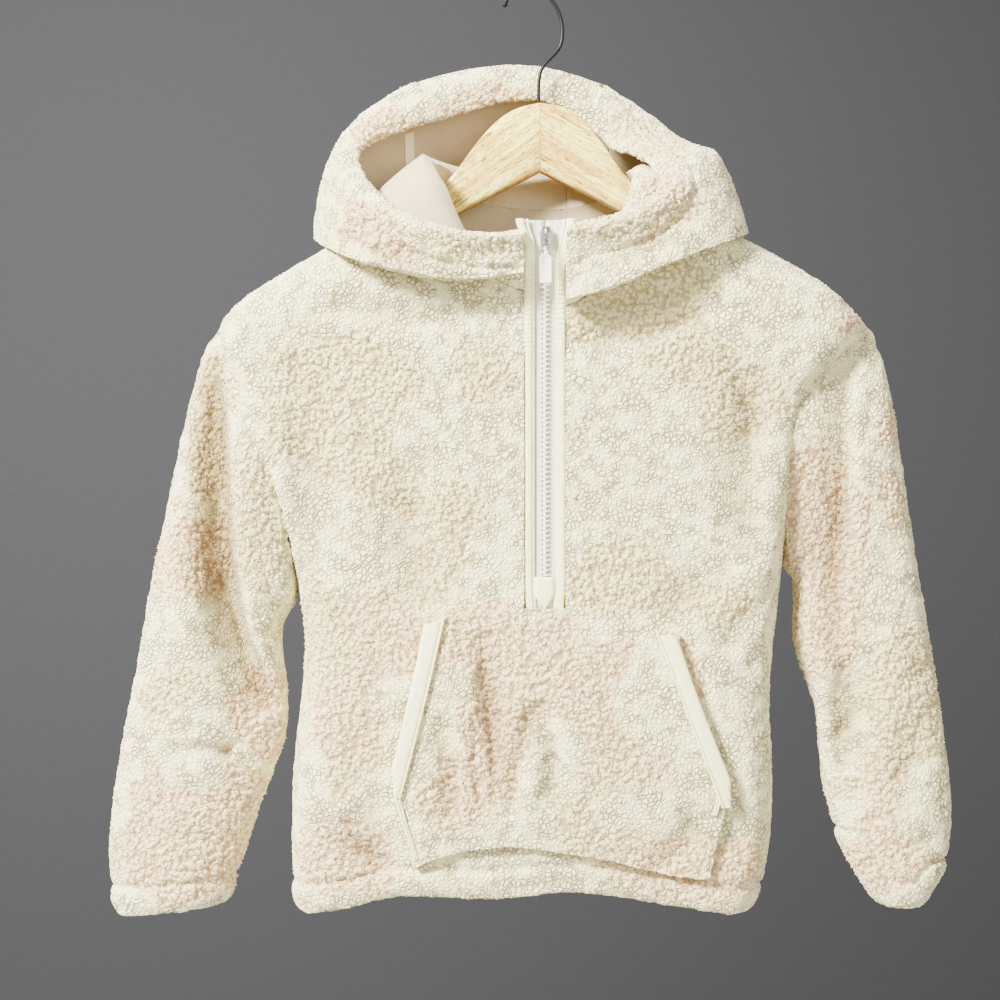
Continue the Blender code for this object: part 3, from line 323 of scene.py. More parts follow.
def read(items, field, width, kind=float):
    """One field of all the items, as rows of this width."""
    flat = np.empty(len(items) * width, kind)
    items.foreach_get(field, flat)
    return flat.reshape(-1, width)


def points_of(mesh):
    return read(mesh.vertices, "co", 3) / MM


def normals_of(mesh):
    return read(mesh.vertices, "normal", 3)


def move_points(mesh, points):
    mesh.vertices.foreach_set("co", (points * MM).ravel())
    mesh.update()


def keep(mesh, name, values):
    layer = mesh.attributes.new(name, "FLOAT", "POINT")
    layer.data.foreach_set("value", np.asarray(values, float).ravel())


def keep_vectors(mesh, name, vectors):
    layer = mesh.attributes.new(name, "FLOAT_VECTOR", "POINT")
    layer.data.foreach_set("vector", vectors.ravel())


def unit(vectors):
    return vectors / np.maximum(np.linalg.norm(vectors, axis=-1, keepdims=True), 1e-9)


def columns_at(places, run, rows):
    """The rows of points read off at these places along the run."""
    return np.stack([np.interp(places, run, rows[:, k]) for k in range(3)], -1)


def box_of(node):
    """Both corners of a CAD node's box, in mm."""
    return (np.array(corner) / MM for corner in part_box(node))


def new_object(name, points, faces, finish):
    mesh = bpy.data.meshes.new(name)
    mesh.from_pydata((np.asarray(points) * MM).tolist(), [], faces)
    mesh.materials.append(finish)
    mesh.shade_smooth()
    return placed(name, mesh)


def skin(rows, count):
    """Faces of a closed tube through rows of count points, with a cap at each end."""
    faces = [(r * count + k, r * count + (k + 1) % count, (r + 1) * count + (k + 1) % count,
              (r + 1) * count + k) for r in range(rows - 1) for k in range(count)]
    return faces + [tuple(range(count))[::-1], tuple(range((rows - 1) * count, rows * count))]


def closed_object(name, points, faces, finish):
    """A new object whose faces all look outward."""
    piece = new_object(name, points, faces, finish)
    with opened(piece.data) as bm:
        bmesh.ops.recalc_face_normals(bm, faces=bm.faces)
    return piece


def tube(name, rings, finish):
    """A closed piece through outlines that all have as many points."""
    rings = np.asarray(rings, float)
    return closed_object(name, rings.reshape(-1, 3), skin(*rings.shape[:2]), finish)


def dress(piece, node=None, body="garment"):
    if node:
        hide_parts(node)
    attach(piece, body)
    return piece


# ---- finer walls
def gathered(meshes):
    bm = bmesh.new()
    for mesh in meshes:
        bm.from_mesh(mesh)
    return bm


def welded(node):
    """The CAD solid's mesh with the points of its seams joined."""
    bm = gathered([NODES[node].data])
    bmesh.ops.remove_doubles(bm, verts=bm.verts, dist=WELD)
    bm.normal_update()
    return bm


def patches(bm):
    """Number of the smooth patch that each face belongs to."""
    number = {}
    count = 0
    for start in bm.faces:
        if start in number:
            continue
        number[start] = count
        stack = [start]
        while stack:
            face = stack.pop()
            for edge in face.edges:
                for other in edge.link_faces:
                    if other not in number and edge.calc_face_angle(0) < SHARP:
                        number[other] = count
                        stack.append(other)
        count += 1
    return number, count


def mark_sides(bm, core, is_hem):
    """Say for each face which side of the wall it is on, as its material number.

    The largest patch is the pile side if it looks away from the core. Patches that
    face each other through the wall are on opposite sides, broad patches that touch
    are mostly on the same side, and a narrow patch that faces no side is a rim.
    """
    number, count = patches(bm)
    area = np.zeros(count)
    away = np.zeros(count)
    outline = np.zeros(count)
    across = np.zeros((count, count))
    touching = np.zeros((count, count))
    tree = BVHTree.FromBMesh(bm)
    bm.faces.ensure_lookup_table()
    for face in bm.faces:
        patch = number[face]
        size = face.calc_area()
        middle = face.calc_center_median()
        area[patch] += size
        away[patch] += size * face.normal.dot(middle - core(middle))
        hit = tree.ray_cast(middle - face.normal * 1e-5, -face.normal, WALL)[2]
        if hit is not None:
            other = number[bm.faces[hit]]
            across[patch, other] += size
            across[other, patch] += size
    for edge in bm.edges:
        a, b = (number[face] for face in edge.link_faces)
        if a != b:
            outline[[a, b]] += edge.calc_length()
            touching[a, b] += edge.calc_length() * WALL
            touching[b, a] += edge.calc_length() * WALL
    broad = 2 * area > RIM_WIDTH * outline
    side = np.full(count, SEAM_RIM)
    first = int(np.argmax(area))
    side[first] = PILE if away[first] > 0 else SMOOTH
    while True:
        like_pile = across[:, side == SMOOTH].sum(1) + touching[:, side == PILE].sum(1)
        like_smooth = across[:, side == PILE].sum(1) + touching[:, side == SMOOTH].sum(1)
        trust = np.abs(like_pile - like_smooth) * (broad & (side == SEAM_RIM))
        patch = int(np.argmax(trust))
        if trust[patch] == 0:
            break
        side[patch] = PILE if like_pile[patch] > like_smooth[patch] else SMOOTH
    for patch in np.flatnonzero(~broad):
        seen = [across[patch, side == SMOOTH].sum(), across[patch, side == PILE].sum()]
        if max(seen) > area[patch]:
            side[patch] = (PILE, SMOOTH)[int(np.argmax(seen))]
    for face in bm.faces:
        own = int(side[number[face]])
        if own != SMOOTH and is_hem(face.calc_center_median(), face.normal):
            own = HEM_RIM
        face.material_index = own


def smoothed(bm, name, levels):
    """Quads where two corners' halves match, then a smooth subdivision of the whole.

    A rim that is a turned hem is rounded, and all other rims stay sharp.
    """
    crease = bm.edges.layers.float.new("crease_edge")
    corner = bm.verts.layers.float.new("crease_vert")
    for vert in bm.verts:
        if {SEAM_RIM, HEM_RIM} <= {face.material_index for face in vert.link_faces}:
            vert[corner] = 1.0
    for edge in bm.edges:
        sides = {face.material_index for face in edge.link_faces}
        rolled = HEM_RIM in sides and SEAM_RIM not in sides
        if edge.calc_face_angle(0) > SHARP and not rolled:
            edge[crease] = 1.0
            edge.smooth = False
    bmesh.ops.join_triangles(bm, faces=bm.faces, cmp_sharp=True, cmp_materials=True,
                             angle_face_threshold=math.pi, angle_shape_threshold=math.pi,
                             topology_influence=1.0)
    mesh = bpy.data.meshes.new(name)
    bm.to_mesh(mesh)
    bm.free()
    piece = placed(name, mesh)
    subsurf = piece.modifiers.new("smooth", "SUBSURF")
    subsurf.levels = subsurf.render_levels = levels
    freeze(piece)
    return piece


def freeze(piece):
    """Keep what the modifiers make as the piece's own mesh."""
    graph = bpy.context.evaluated_depsgraph_get()
    mesh = bpy.data.meshes.new_from_object(piece.evaluated_get(graph), depsgraph=graph,
                                           preserve_all_data_layers=True)
    piece.modifiers.clear()
    old = piece.data
    piece.data = mesh
    bpy.data.meshes.remove(old)
    mesh.name = piece.name


def split_long_edges(mesh, sides):
    with opened(mesh) as bm:
        for _ in range(4):
            long_edges = [edge for edge in bm.edges if edge.calc_length() > PILE_GRID
                          and any(face.material_index in sides for face in edge.link_faces)]
            if not long_edges:
                break
            bmesh.ops.subdivide_edges(bm, edges=long_edges, cuts=1, use_grid_fill=True)


def share_of(mesh, sides):
    """For each point the share of the faces round it that are on these sides."""
    total = np.zeros(len(mesh.vertices))
    own = np.zeros(len(mesh.vertices))
    for polygon in mesh.polygons:
        weight = 1.0 if polygon.material_index in sides else 0.0
        for v in polygon.vertices:
            total[v] += 1
            own[v] += weight
    return own / np.maximum(total, 1)


def hem_tree(mesh):
    """The points round the hems' rims, or None if the piece has no hem."""
    rim = {v for polygon in mesh.polygons if polygon.material_index == HEM_RIM
           for v in polygon.vertices}
    if not rim:
        return None
    tree = KDTree(len(rim))
    for v in rim:
        tree.insert(mesh.vertices[v].co, v)
    tree.balance()
    return tree


def turn_hem(mesh, width):
    """Split the pile side finely and carry the pile round the rim, over the turned width."""
    tree = hem_tree(mesh)
    if tree is None:
        split_long_edges(mesh, (PILE,))
        return np.full(len(mesh.vertices), FAR)
    reach = (width + HEM_SPARE) * MM
    for polygon in mesh.polygons:
        if polygon.material_index == SMOOTH and tree.find(polygon.center)[2] < reach:
            polygon.material_index = TURNED
    split_long_edges(mesh, (PILE, HEM_RIM, TURNED))
    tree = hem_tree(mesh)
    for polygon in mesh.polygons:
        if polygon.material_index == TURNED and tree.find(polygon.center)[2] > width * MM:
            polygon.material_index = SMOOTH
    return np.array([tree.find(v.co)[2] for v in mesh.vertices]) / MM


def roll_hem(mesh, away, width):
    """Swell the turned hem and press in its line of stitches."""
    if not width:
        return
    roll = np.where(away < width, np.sin(math.pi * np.clip(away / width, 0, 1)), 0)
    groove = np.exp(-((away - width) / GROOVE_REACH) ** 2)
    lift = share_of(mesh, (PILE, TURNED)) * (HEM_SWELL * roll - GROOVE_DEPTH * groove)
    lift += HEM_SWELL_INSIDE * share_of(mesh, (TURNED,)) * (away < width)
    move_points(mesh, points_of(mesh) + lift[:, None] * normals_of(mesh))


# ---- nodes
class Graph:
    """Short names for making shader and geometry nodes."""

    def __init__(self, tree):
        self.tree = tree

    def node(self, kind, **settings):
        made = self.tree.nodes.new(kind)
        for key, value in settings.items():
            setattr(made, key, value)
        return made

    def link(self, source, target):
        if isinstance(source, (int, float, tuple)):
            target.default_value = source
        else:
            self.tree.links.new(source, target)

    def fed(self, made, *sources):
        """The first output of a node whose first inputs are these sources."""
        for source, socket in zip(sources, made.inputs):
            self.link(source, socket)
        return made.outputs[0]

    def math(self, operation, *sources):
        return self.fed(self.node("ShaderNodeMath", operation=operation), *sources)

    def vector(self, operation, *sources):
        return self.fed(self.node("ShaderNodeVectorMath", operation=operation), *sources)

    def scaled(self, vector, scale):
        made = self.node("ShaderNodeVectorMath", operation="SCALE")
        self.link(scale, made.inputs["Scale"])
        return self.fed(made, vector)

    def step(self, value, low, high, out_low=0.0, out_high=1.0):
        made = self.node("ShaderNodeMapRange", interpolation_type="SMOOTHSTEP")
        return self.fed(made, value, low, high, out_low, out_high)

    def noise(self, place, *values, output="Fac"):
        """The values are the scale, the detail, the roughness and the distortion."""
        made = self.node("ShaderNodeTexNoise")
        self.link(place, made.inputs["Vector"])
        for name, value in zip(("Scale", "Detail", "Roughness", "Distortion"), values):
            made.inputs[name].default_value = value
        return made.outputs[output]

    def cells(self, place, scale, feature="F1"):
        made = self.node("ShaderNodeTexVoronoi", feature=feature)
        self.link(place, made.inputs["Vector"])
        made.inputs["Scale"].default_value = scale
        return made.outputs

    def split(self, source, kind="ShaderNodeSeparateXYZ"):
        made = self.node(kind)
        self.fed(made, source)
        return made.outputs

    def mix(self, share, a, b, blend="MIX"):
        made = self.node("ShaderNodeMix", data_type="RGBA", blend_type=blend)
        self.link(share, made.inputs["Factor"])
        self.link(a, made.inputs["A"])
        self.link(b, made.inputs["B"])
        return made.outputs["Result"]

    def times(self, a, b):
        return self.mix(1.0, a, b, "MULTIPLY")

    def mottled(self, value, low, high, colour, first, last):
        """The colour at its first strength where the value is low, at its last where it
        is high."""
        return self.mix(self.step(value, low, high), rgba(colour, first), rgba(colour, last))


class Finish(Graph):
    """A material on one Principled shader."""

    def __init__(self, name, roughness, **plain):
        self.material = bpy.data.materials.new(name)
        self.material.use_nodes = True
        super().__init__(self.material.node_tree)
        self.shader = self.tree.nodes["Principled BSDF"]
        self.shader.inputs["Roughness"].default_value = roughness
        for key, value in plain.items():
            self.shader.inputs[key.replace("_", " ")].default_value = value

    def stored(self, name, output="Fac"):
        return self.node("ShaderNodeAttribute", attribute_name=name).outputs[output]

    def place(self):
        return self.node("ShaderNodeTexCoord").outputs["Object"]

    def bump(self, height, strength, distance, under=None):
        made = self.node("ShaderNodeBump")
        made.inputs["Strength"].default_value = strength
        made.inputs["Distance"].default_value = distance
        self.link(height, made.inputs["Height"])
        if under is not None:
            self.link(under, made.inputs["Normal"])
        self.link(made.outputs["Normal"], self.shader.inputs["Normal"])
        return made.outputs["Normal"]

    def coloured(self, base):
        """The finished material, in this colour."""
        self.link(base, self.shader.inputs["Base Color"])
        return self.material


def rgba(colour, value=1.0):
    return (colour[0] * value, colour[1] * value, colour[2] * value, 1.0)


TUFT_CELLS = 270.0            # tufts of brushed cream pile in a metre
RING_CELLS = 285.0            # ringlets of coloured pile in a metre
CURLY_FROM, CURLY_TO = -2.0, 3.0    # mm inside a coloured patch where the pile turns curly
TUFT_RISE = 0.0003            # height of the tufts, in metres
CURL_RISE = 0.0011            # how much higher the ringlets stand
LUMP_RISE = 0.0032            # slow unevenness of all the pile


def pile_height(graph, place, curly):
    """Height of the pile, 0 in the cracks and 1 on the curls, and its cells.

    Cream pile is brushed into flat tufts with thin cracks between them, more open in
    some places than in others. The coloured pile stands in round ringlets with a small
    hole in each. curly blends between the two.
    """
    drift = graph.noise(place, 160.0, 1.0, output="Color")
    bent = graph.scaled(graph.vector("SUBTRACT", drift, (0.5, 0.5, 0.5)), 0.0036)
    bent = graph.vector("ADD", place, bent)
    crack = graph.cells(bent, TUFT_CELLS, "DISTANCE_TO_EDGE")["Distance"]
    opening = graph.step(graph.noise(place, 75.0, 2.0), 0.35, 0.65, 0.5, 1.0)
    closed = graph.math("SUBTRACT", graph.step(crack, 0.0, 0.24), 1.0)
    flat = graph.math("MULTIPLY_ADD", closed, opening, 0.86)
    flat = graph.math("ADD", flat, graph.step(crack, 0.08, 0.42, 0.0, 0.14))
    rings = graph.cells(bent, RING_CELLS)
    hole = graph.step(rings["Distance"], 0.05, 0.24, 0.45, 0.0)
    dome = graph.math("SUBTRACT", graph.step(rings["Distance"], 0.30, 0.74, 1.0, 0.0), hole)
    blend = graph.math("SUBTRACT", dome, flat)
    return graph.math("MULTIPLY_ADD", blend, curly, flat), rings


# ---- raised pile
def pile_group():
    """Geometry nodes that raise the pile on its side of a wall."""
    group = bpy.data.node_groups.new("raise_pile", "GeometryNodeTree")
    for in_out in ("INPUT", "OUTPUT"):
        group.interface.new_socket("Geometry", in_out=in_out, socket_type="NodeSocketGeometry")
    graph = Graph(group)

    def stored(name, kind="FLOAT"):
        made = graph.node("GeometryNodeInputNamedAttribute", data_type=kind)
        made.inputs["Name"].default_value = name
        return made.outputs["Attribute"]

    place = stored("rest", "FLOAT_VECTOR")
    curly = graph.step(stored("tint"), CURLY_FROM, CURLY_TO)
    height, _ = pile_height(graph, place, curly)
    tall = graph.math("MULTIPLY_ADD", curly, CURL_RISE, TUFT_RISE)
    lift = graph.math("MULTIPLY", graph.math("SUBTRACT", height, 0.6), tall)
    lump = graph.noise(place, 105.0, 2.0)
    lump = graph.math("MULTIPLY_ADD", lump, LUMP_RISE, -LUMP_RISE / 2)
    lift = graph.math("MULTIPLY", graph.math("ADD", lift, lump), stored("pile"))
    normal = graph.node("GeometryNodeInputNormal").outputs["Normal"]
    move = graph.node("GeometryNodeSetPosition")
    graph.link(graph.node("NodeGroupInput").outputs[0], move.inputs["Geometry"])
    graph.link(graph.scaled(normal, lift), move.inputs["Offset"])
    graph.link(move.outputs["Geometry"], graph.node("NodeGroupOutput").inputs[0])
    return group


RAISE_PILE = pile_group()


def raise_pile(piece):
    piece.modifiers.new("pile", "NODES").node_group = RAISE_PILE
    freeze(piece)


# ---- materials
def sherpa_material():
    """Curly pile in its own colour on top, with painted shade in its gaps and folds and a painted
    highlight on the loose curls' tops.
    """
    graph = Finish("sherpa_pile", 0.95, Sheen_Weight=0.2, Sheen_Roughness=0.6,
                   Specular_IOR_Level=0.12)
    place = graph.stored("rest", "Vector")
    tint = graph.stored("tint")
    pink = graph.stored("pink")
    tip = graph.stored("tip")
    height, rings = pile_height(graph, place, graph.step(tint, CURLY_FROM, CURLY_TO))
    lone = graph.split(rings["Color"], "ShaderNodeSeparateColor")
    ragged = graph.math("MULTIPLY_ADD", lone[0], 4.4, -2.2)
    share = graph.step(graph.math("ADD", tint, ragged), -1.4, 1.8)
    coloured = graph.mix(pink, rgba(TAN), rgba(PINK))
    # painted shade: each colour has a darker copy for the cracks and holes between its curls
    coloured_gap_shade = graph.mix(pink, rgba(TAN_GAP_SHADE), rgba(PINK_GAP_SHADE))
    light_curl = graph.step(lone[1], 0.5, 1.0, 0.0, 0.3)
    coloured = graph.mix(light_curl, coloured, rgba(CREAM, 1.03))
    cloud = graph.step(graph.noise(place, 22.0, 3.0, 0.6), 0.35, 0.7)
    top = graph.mix(share, graph.mix(cloud, rgba(CREAM), rgba(CREAM_SHADE)), coloured)
    gap_shade = graph.mix(share, rgba(CREAM_GAP_SHADE), coloured_gap_shade)
    # painted light: the curls' tops take the top colour, the cracks take the painted shade, and the
    # top of each loose curl is a painted highlight
    lit_share = graph.math("MAXIMUM", height, tip)
    base = graph.mix(graph.step(lit_share, 0.0, 0.5), gap_shade, top)
    fibre = graph.noise(place, 1150.0, 3.0, 0.65, 1.6)
    shade = graph.math("MULTIPLY_ADD", fibre, 0.26, 0.88)
    # painted highlight: the tops of the loose curls are a little lighter
    base = graph.times(base, graph.math("MULTIPLY_ADD", tip, 0.04, shade))
    # painted shade: the pile is darker where it lies deep in a pressed fold
    base = graph.times(base, graph.mix(graph.stored("valley"), rgba(WHITE), rgba(VALLEY)))
    graph.bump(fibre, 0.5, 0.0006, graph.bump(height, 0.8, 0.0014))
    return graph.coloured(base)


def lining_material():
    """Smooth brushed back of the fleece under a short nap."""
    graph = Finish("fleece_back", 0.95, Sheen_Weight=0.25, Specular_IOR_Level=0.12)
    place = graph.place()
    nap = graph.noise(place, 620.0, 4.0, 0.7)
    # the fleece back's own colour, darkened further as painted shade
    base = graph.mottled(graph.noise(place, 45.0, 3.0), 0.3, 0.7, LINING_AND_SHADE, 0.96, 1.08)
    graph.bump(nap, 0.45, 0.0006)
    return graph.coloured(graph.times(base, graph.math("MULTIPLY_ADD", nap, 0.3, 0.85)))


def woven_material(name, colour, thread=0.00045, roughness=0.75):
    """Plain-woven trim; thread is the width of one thread in metres."""
    graph = Finish(name, roughness, Sheen_Weight=0.15)
    place = graph.place()
    across = graph.split(place)
    warp, weft = (graph.math("SINE", graph.math("MULTIPLY", across[axis], math.pi / thread))
                  for axis in "XZ")
    weave = graph.math("MULTIPLY", warp, weft)
    soft = graph.noise(place, 120.0, 3.0)
    base = graph.mottled(soft, 0.3, 0.75, colour, 0.93, 1.03)
    base = graph.mix(graph.step(weave, -1.0, 1.0, 0.0, 0.14), base, rgba(colour, 0.62))
    graph.bump(soft, 0.3, 0.0012, graph.bump(weave, 0.35, 0.00018))
    return graph.coloured(base)


def plastic_material(name, colour):
    graph = Finish(name, 0.4)
    fine = graph.noise(graph.place(), 900.0, 2.0)
    graph.link(graph.step(fine, 0.2, 0.8, 0.32, 0.5), graph.shader.inputs["Roughness"])
    graph.bump(fine, 0.15, 0.0002)
    return graph.coloured(graph.mix(graph.math("MULTIPLY", fine, 0.3), rgba(colour),
                                    rgba(colour, 0.84)))


def metal_material(name, colour, roughness, **plain):
    graph = Finish(name, roughness, **plain)
    worn = graph.noise(graph.place(), 260.0, 3.0, 0.6)
    graph.link(graph.step(worn, 0.2, 0.8, roughness, roughness + 0.14),
               graph.shader.inputs["Roughness"])
    graph.bump(worn, 0.08, 0.0002)
    return graph.coloured(graph.mottled(worn, 0.4, 0.7, colour, 1.0, 0.65))


def wood_material():
    """Pale clear-finished wood; its grain and its short dark pores run along each arm."""
    graph = Finish("hanger_wood_grain", 0.45, Coat_Weight=0.1, Coat_Roughness=0.3,
                   Specular_IOR_Level=0.3)
    along = graph.stored("grain", "Vector")
    figure, cloud, pores = (
        graph.noise(graph.vector("MULTIPLY", along, stretch), 1.0, *values)
        for stretch, values in (((10.0, 130.0, 330.0), (4.0, 0.6, 0.6)),
                                ((28.0, 30.0, 60.0), (3.0, 0.6)),
                                ((150.0, 900.0, 2100.0), (1.0, 0.5))))
    base = graph.mix(graph.step(figure, 0.36, 0.62), rgba(WOOD_PALE), rgba(WOOD_FIGURE))
    base = graph.mix(graph.step(cloud, 0.42, 0.7, 0.0, 0.45), base, rgba(WOOD_CLOUD))
    base = graph.mix(graph.step(pores, 0.58, 0.63, 0.0, 0.9), base, rgba(WOOD_PORE))
    # painted shade: the wood is darker where its surface turns edge-on to the front
    base = graph.mix(graph.math("MULTIPLY", graph.stored("edge"), 0.85), base, rgba(WOOD_EDGE_SHADE))
    graph.bump(pores, 0.15, 0.0004)
    return graph.coloured(base)


def wall_material(name, colour):
    """Rolled matt paint with painted shade that makes it a little darker towards the right and the
    bottom.
    """
    graph = Finish(name, 0.9)
    place = graph.place()
    side = graph.split(place)
    fine = graph.noise(place, 60.0, 5.0, 0.65)
    base = graph.mottled(fine, 0.3, 0.7, colour, 1.0, 1.07)
    # painted shade: darker towards the right and towards the bottom
    base = graph.mix(graph.step(side["X"], -1.2, 1.3, 0.0, 0.30), base, rgba(colour, 0.1))
    base = graph.mix(graph.step(side["Z"], -0.3, -1.5, 0.0, 0.12), base, rgba(colour, 0.1))
    graph.bump(fine, 0.2, 0.004)
    return graph.coloured(base)


SHERPA = sherpa_material()
FLEECE_BACK = lining_material()
TRIM = woven_material("binding_cloth", BINDING, roughness=0.45)
THREAD = woven_material("stitch_thread", (0.70, 0.68, 0.46), thread=0.0002)
TAPE = woven_material("tape_cloth", (0.66, 0.65, 0.56), thread=0.0006)
HOOD_TAPE = woven_material("hood_tape_cloth", (0.88, 0.80, 0.58))
TEETH = plastic_material("zip_plastic_white", (0.90, 0.88, 0.76))
PULL = plastic_material("pull_plastic_grey", (0.78, 0.78, 0.66))
STEEL = metal_material("pull_steel", (0.50, 0.50, 0.49), 0.28, Metallic=1.0)
DARK_STEEL = metal_material("hook_steel", (0.012, 0.012, 0.013), 0.3, Specular_IOR_Level=0.12)
WOOD = wood_material()


# ---- fleece pieces
def body_core(place):
    return Vector((place.x, 0, place.z))


def sleeve_core(place):
    """Nearest point on the line down the middle of the sleeve."""
    (top_x, top_z), (foot_x, foot_z) = SLEEVE_TOP, SLEEVE_FOOT
    t = min(max((place.z - top_z) / (foot_z - top_z), 0), 1)
    return Vector(((top_x + (foot_x - top_x) * t) * (1 if place.x > 0 else -1), 0, place.z))


def hood_core(_place):
    return HOOD_MIDDLE


def low_hem(middle, normal):
    return normal.z < -0.5 and middle.z < LOWEST_HEMS


def mouth_hem(middle, normal):
    """Near the edge of the hood's mouth and facing into it."""
    if normal.dot((MOUTH_MIDDLE - middle).normalized()) < 0.5:
        return False
    corners = [Vector(point) * MM for point in HOOD_MOUTH]
    for start, end in zip(corners, corners[1:]):
        t = (middle - start).dot(end - start) / (end - start).length_squared
        if (middle - start.lerp(end, min(max(t, 0), 1))).length < MOUTH_REACH:
            return True
    return False


def no_hem(_middle, _normal):
    return False


PRINT_TURN = 4                # behind this y the body's print is turned over
SLEEVE_SLANT = 1.6            # the print drops by this much for each mm of a sleeve's back
HOOD_BEHIND = 16              # behind this y the hood's print slants down and aside


def body_fields(x, y, z):
    back = y > PRINT_TURN
    return paint(BODY_PRINT, np.where(back, BACK_TURN[0] - x, x),
                 np.where(back, BACK_TURN[1] - z, z))


def sleeve_fields(x, y, z):
    return paint(SLEEVE_PRINT, x, z + SLEEVE_SLANT * np.maximum(y, 0))


def hood_fields(x, y, z):
    behind = np.maximum(y - HOOD_BEHIND, 0)
    return paint(HOOD_PRINT, x - 0.4 * behind, z + 0.9 * behind)


# the core that each kind of piece lies round, its print, and its creases and folds on the
# front and on the back
BODY = (body_core, body_fields, (FRONT_CREASES, FRONT_FOLDS), (BACK_CREASES, BACK_FOLDS))
SLEEVE = (sleeve_core, sleeve_fields, *[(SLEEVE_CREASES, SLEEVE_FOLDS)] * 2)
HOOD = (hood_core, hood_fields, *[(HOOD_CREASES, HOOD_FOLDS)] * 2)


def fleece_piece(node, kind, is_hem=no_hem, hem_width=0.0, turned=None):
    """Dress one fleece piece. hem_width is how far the stitch line is from the rim, and
    turned is how much of the pile shows inside, if that isn't the same."""
    core, fields, *press = kind
    bm = welded(node)
    mark_sides(bm, core, is_hem)
    piece = smoothed(bm, node + "_fleece", 2)
    mesh = piece.data
    away = turn_hem(mesh, hem_width if turned is None else turned)
    points = points_of(mesh)
    x, y, z = points.T
    pressed = pressed_in(*press, x, y, z)
    # painted shade for the material: how deep each point lies in a pressed fold
    keep(mesh, "valley", np.clip(pressed * np.where(y < 0, 1, -1) / 10 - 0.1, 0, 1))
    points[:, 1] += pressed
    move_points(mesh, points)
    roll_hem(mesh, away, hem_width)
    x, y, z = points_of(mesh).T
    depth, pink = fields(x, y, z)
    keep(mesh, "tint", depth)
    keep(mesh, "pink", pink)
    keep(mesh, "pile", share_of(mesh, (PILE, HEM_RIM, TURNED)))
    keep_vectors(mesh, "rest", points_of(mesh) * MM)
    for finish in (SHERPA, FLEECE_BACK, SHERPA, SHERPA, SHERPA):
        mesh.materials.append(finish)
    mesh.shade_smooth()
    raise_pile(piece)
    return dress(piece, node)


def spread_over(mesh, rng):
    """Places spread evenly over the pile side: triangle corners and weights."""
    mesh.calc_loop_triangles()
    corner = read(mesh.loop_triangles, "vertices", 3, int)
    owner = read(mesh.loop_triangles, "polygon_index", 1, int)[:, 0]
    side = read(mesh.polygons, "material_index", 1, int)[:, 0]
    corner = corner[np.isin(side[owner], (PILE, HEM_RIM, TURNED))]
    place = points_of(mesh)[corner]
    size = np.linalg.norm(np.cross(place[:, 1] - place[:, 0], place[:, 2] - place[:, 0]), axis=1) / 2
    count = int(2.5 * size.sum() / CURL_SPACING ** 2)
    pick = rng.choice(len(corner), count, p=size / size.sum())
    weight = rng.dirichlet((1, 1, 1), count)
    spot = np.einsum("nk,nkj->nj", weight, place[pick])
    cell = np.floor(spot / CURL_SPACING).astype(int)
    first = np.unique(cell, axis=0, return_index=True)[1]
    return corner[pick[first]], weight[first], spot[first]


def loose_curls(piece, seed):
    """Small arched curls standing on the pile, taller and closer on coloured pile."""
    rng = np.random.default_rng(seed)
    mesh = piece.data
    corner, weight, spot = spread_over(mesh, rng)
    # each curl takes the print and the painted fold shade of the pile under it
    looks = {name: (read(mesh.attributes[name].data, "value", 1)[corner, 0] * weight).sum(1)
             for name in ("tint", "pink", "valley")}
    curly = np.clip((looks["tint"] - CURLY_FROM) / (CURLY_TO - CURLY_FROM), 0, 1)
    use = rng.random(len(spot)) < 0.45 + 0.55 * curly
    corner, weight, spot, curly = (item[use] for item in (corner, weight, spot, curly))
    out = unit(np.einsum("nk,nkj->nj", weight, normals_of(mesh)[corner]))
    along = unit(np.cross(out, rng.normal(size=out.shape)))
    side = np.cross(out, along)
    count = len(spot)
    long = (1.3 + 0.1 * curly) * rng.uniform(0.8, 1.3, count)
    thick = (0.52 + 0.08 * curly) * rng.uniform(0.8, 1.25, count)
    rise = (0.10 + 0.50 * curly) * rng.uniform(0.5, 1.5, count)
    bend = rng.uniform(-0.8, 0.8, count)
    middle = spot + rise[:, None] * out + bend[:, None] * side
    points = [spot - long[:, None] * along - 0.6 * out]
    for angle in (0, 125, 235):
        turn = math.radians(angle)
        points.append(middle + thick[:, None] * (math.cos(turn) * out + math.sin(turn) * side))
    points.append(spot + long[:, None] * along - 0.6 * out)
    points = np.stack(points, 1).reshape(-1, 3)
    shape = np.array([(0, 1, 2), (0, 2, 3), (0, 3, 1), (4, 2, 1), (4, 3, 2), (4, 1, 3)])
    faces = (shape[None] + 5 * np.arange(count)[:, None, None]).reshape(-1, 3)
    made = new_object(piece.name.replace("_fleece", "_curls"), points, faces.tolist(), SHERPA)
    for name, values in looks.items():
        keep(made.data, name, np.repeat(values[use], 5))
    # painted highlight: the top point of each loose curl is marked lightest
    keep(made.data, "tip", np.tile([0.0, 1.0, 0.4, 0.4, 0.0], count))
    keep_vectors(made.data, "rest", points_of(made.data) * MM)
    return dress(made)


front, back = (fleece_piece(node, BODY, low_hem, LOW_HEM) for node in ("front", "back"))
sleeves = [fleece_piece(node, SLEEVE, low_hem, LOW_HEM) for node in ("sleeve_left", "sleeve_right")]
hood = [fleece_piece(node, HOOD, mouth_hem, HOOD_HEM, turned)
        for node, turned in (("hood_left", 5.0), ("hood_centre", 9.0), ("hood_right", 25.0))]
pocket = fleece_piece("pocket", BODY)
fleece = [front, back, *sleeves, *hood, pocket]
on_sheet = {piece.name: [loose_curls(piece, seed)] for seed, piece in enumerate(fleece)}


# ---- trims, laid on the solids
def cad_tree(*nodes):
    bm = gathered(NODES[node].data for node in nodes)
    tree = BVHTree.FromBMesh(bm)
    bm.free()
    return tree


BEFORE_ALL = -0.3             # a y in front of every piece


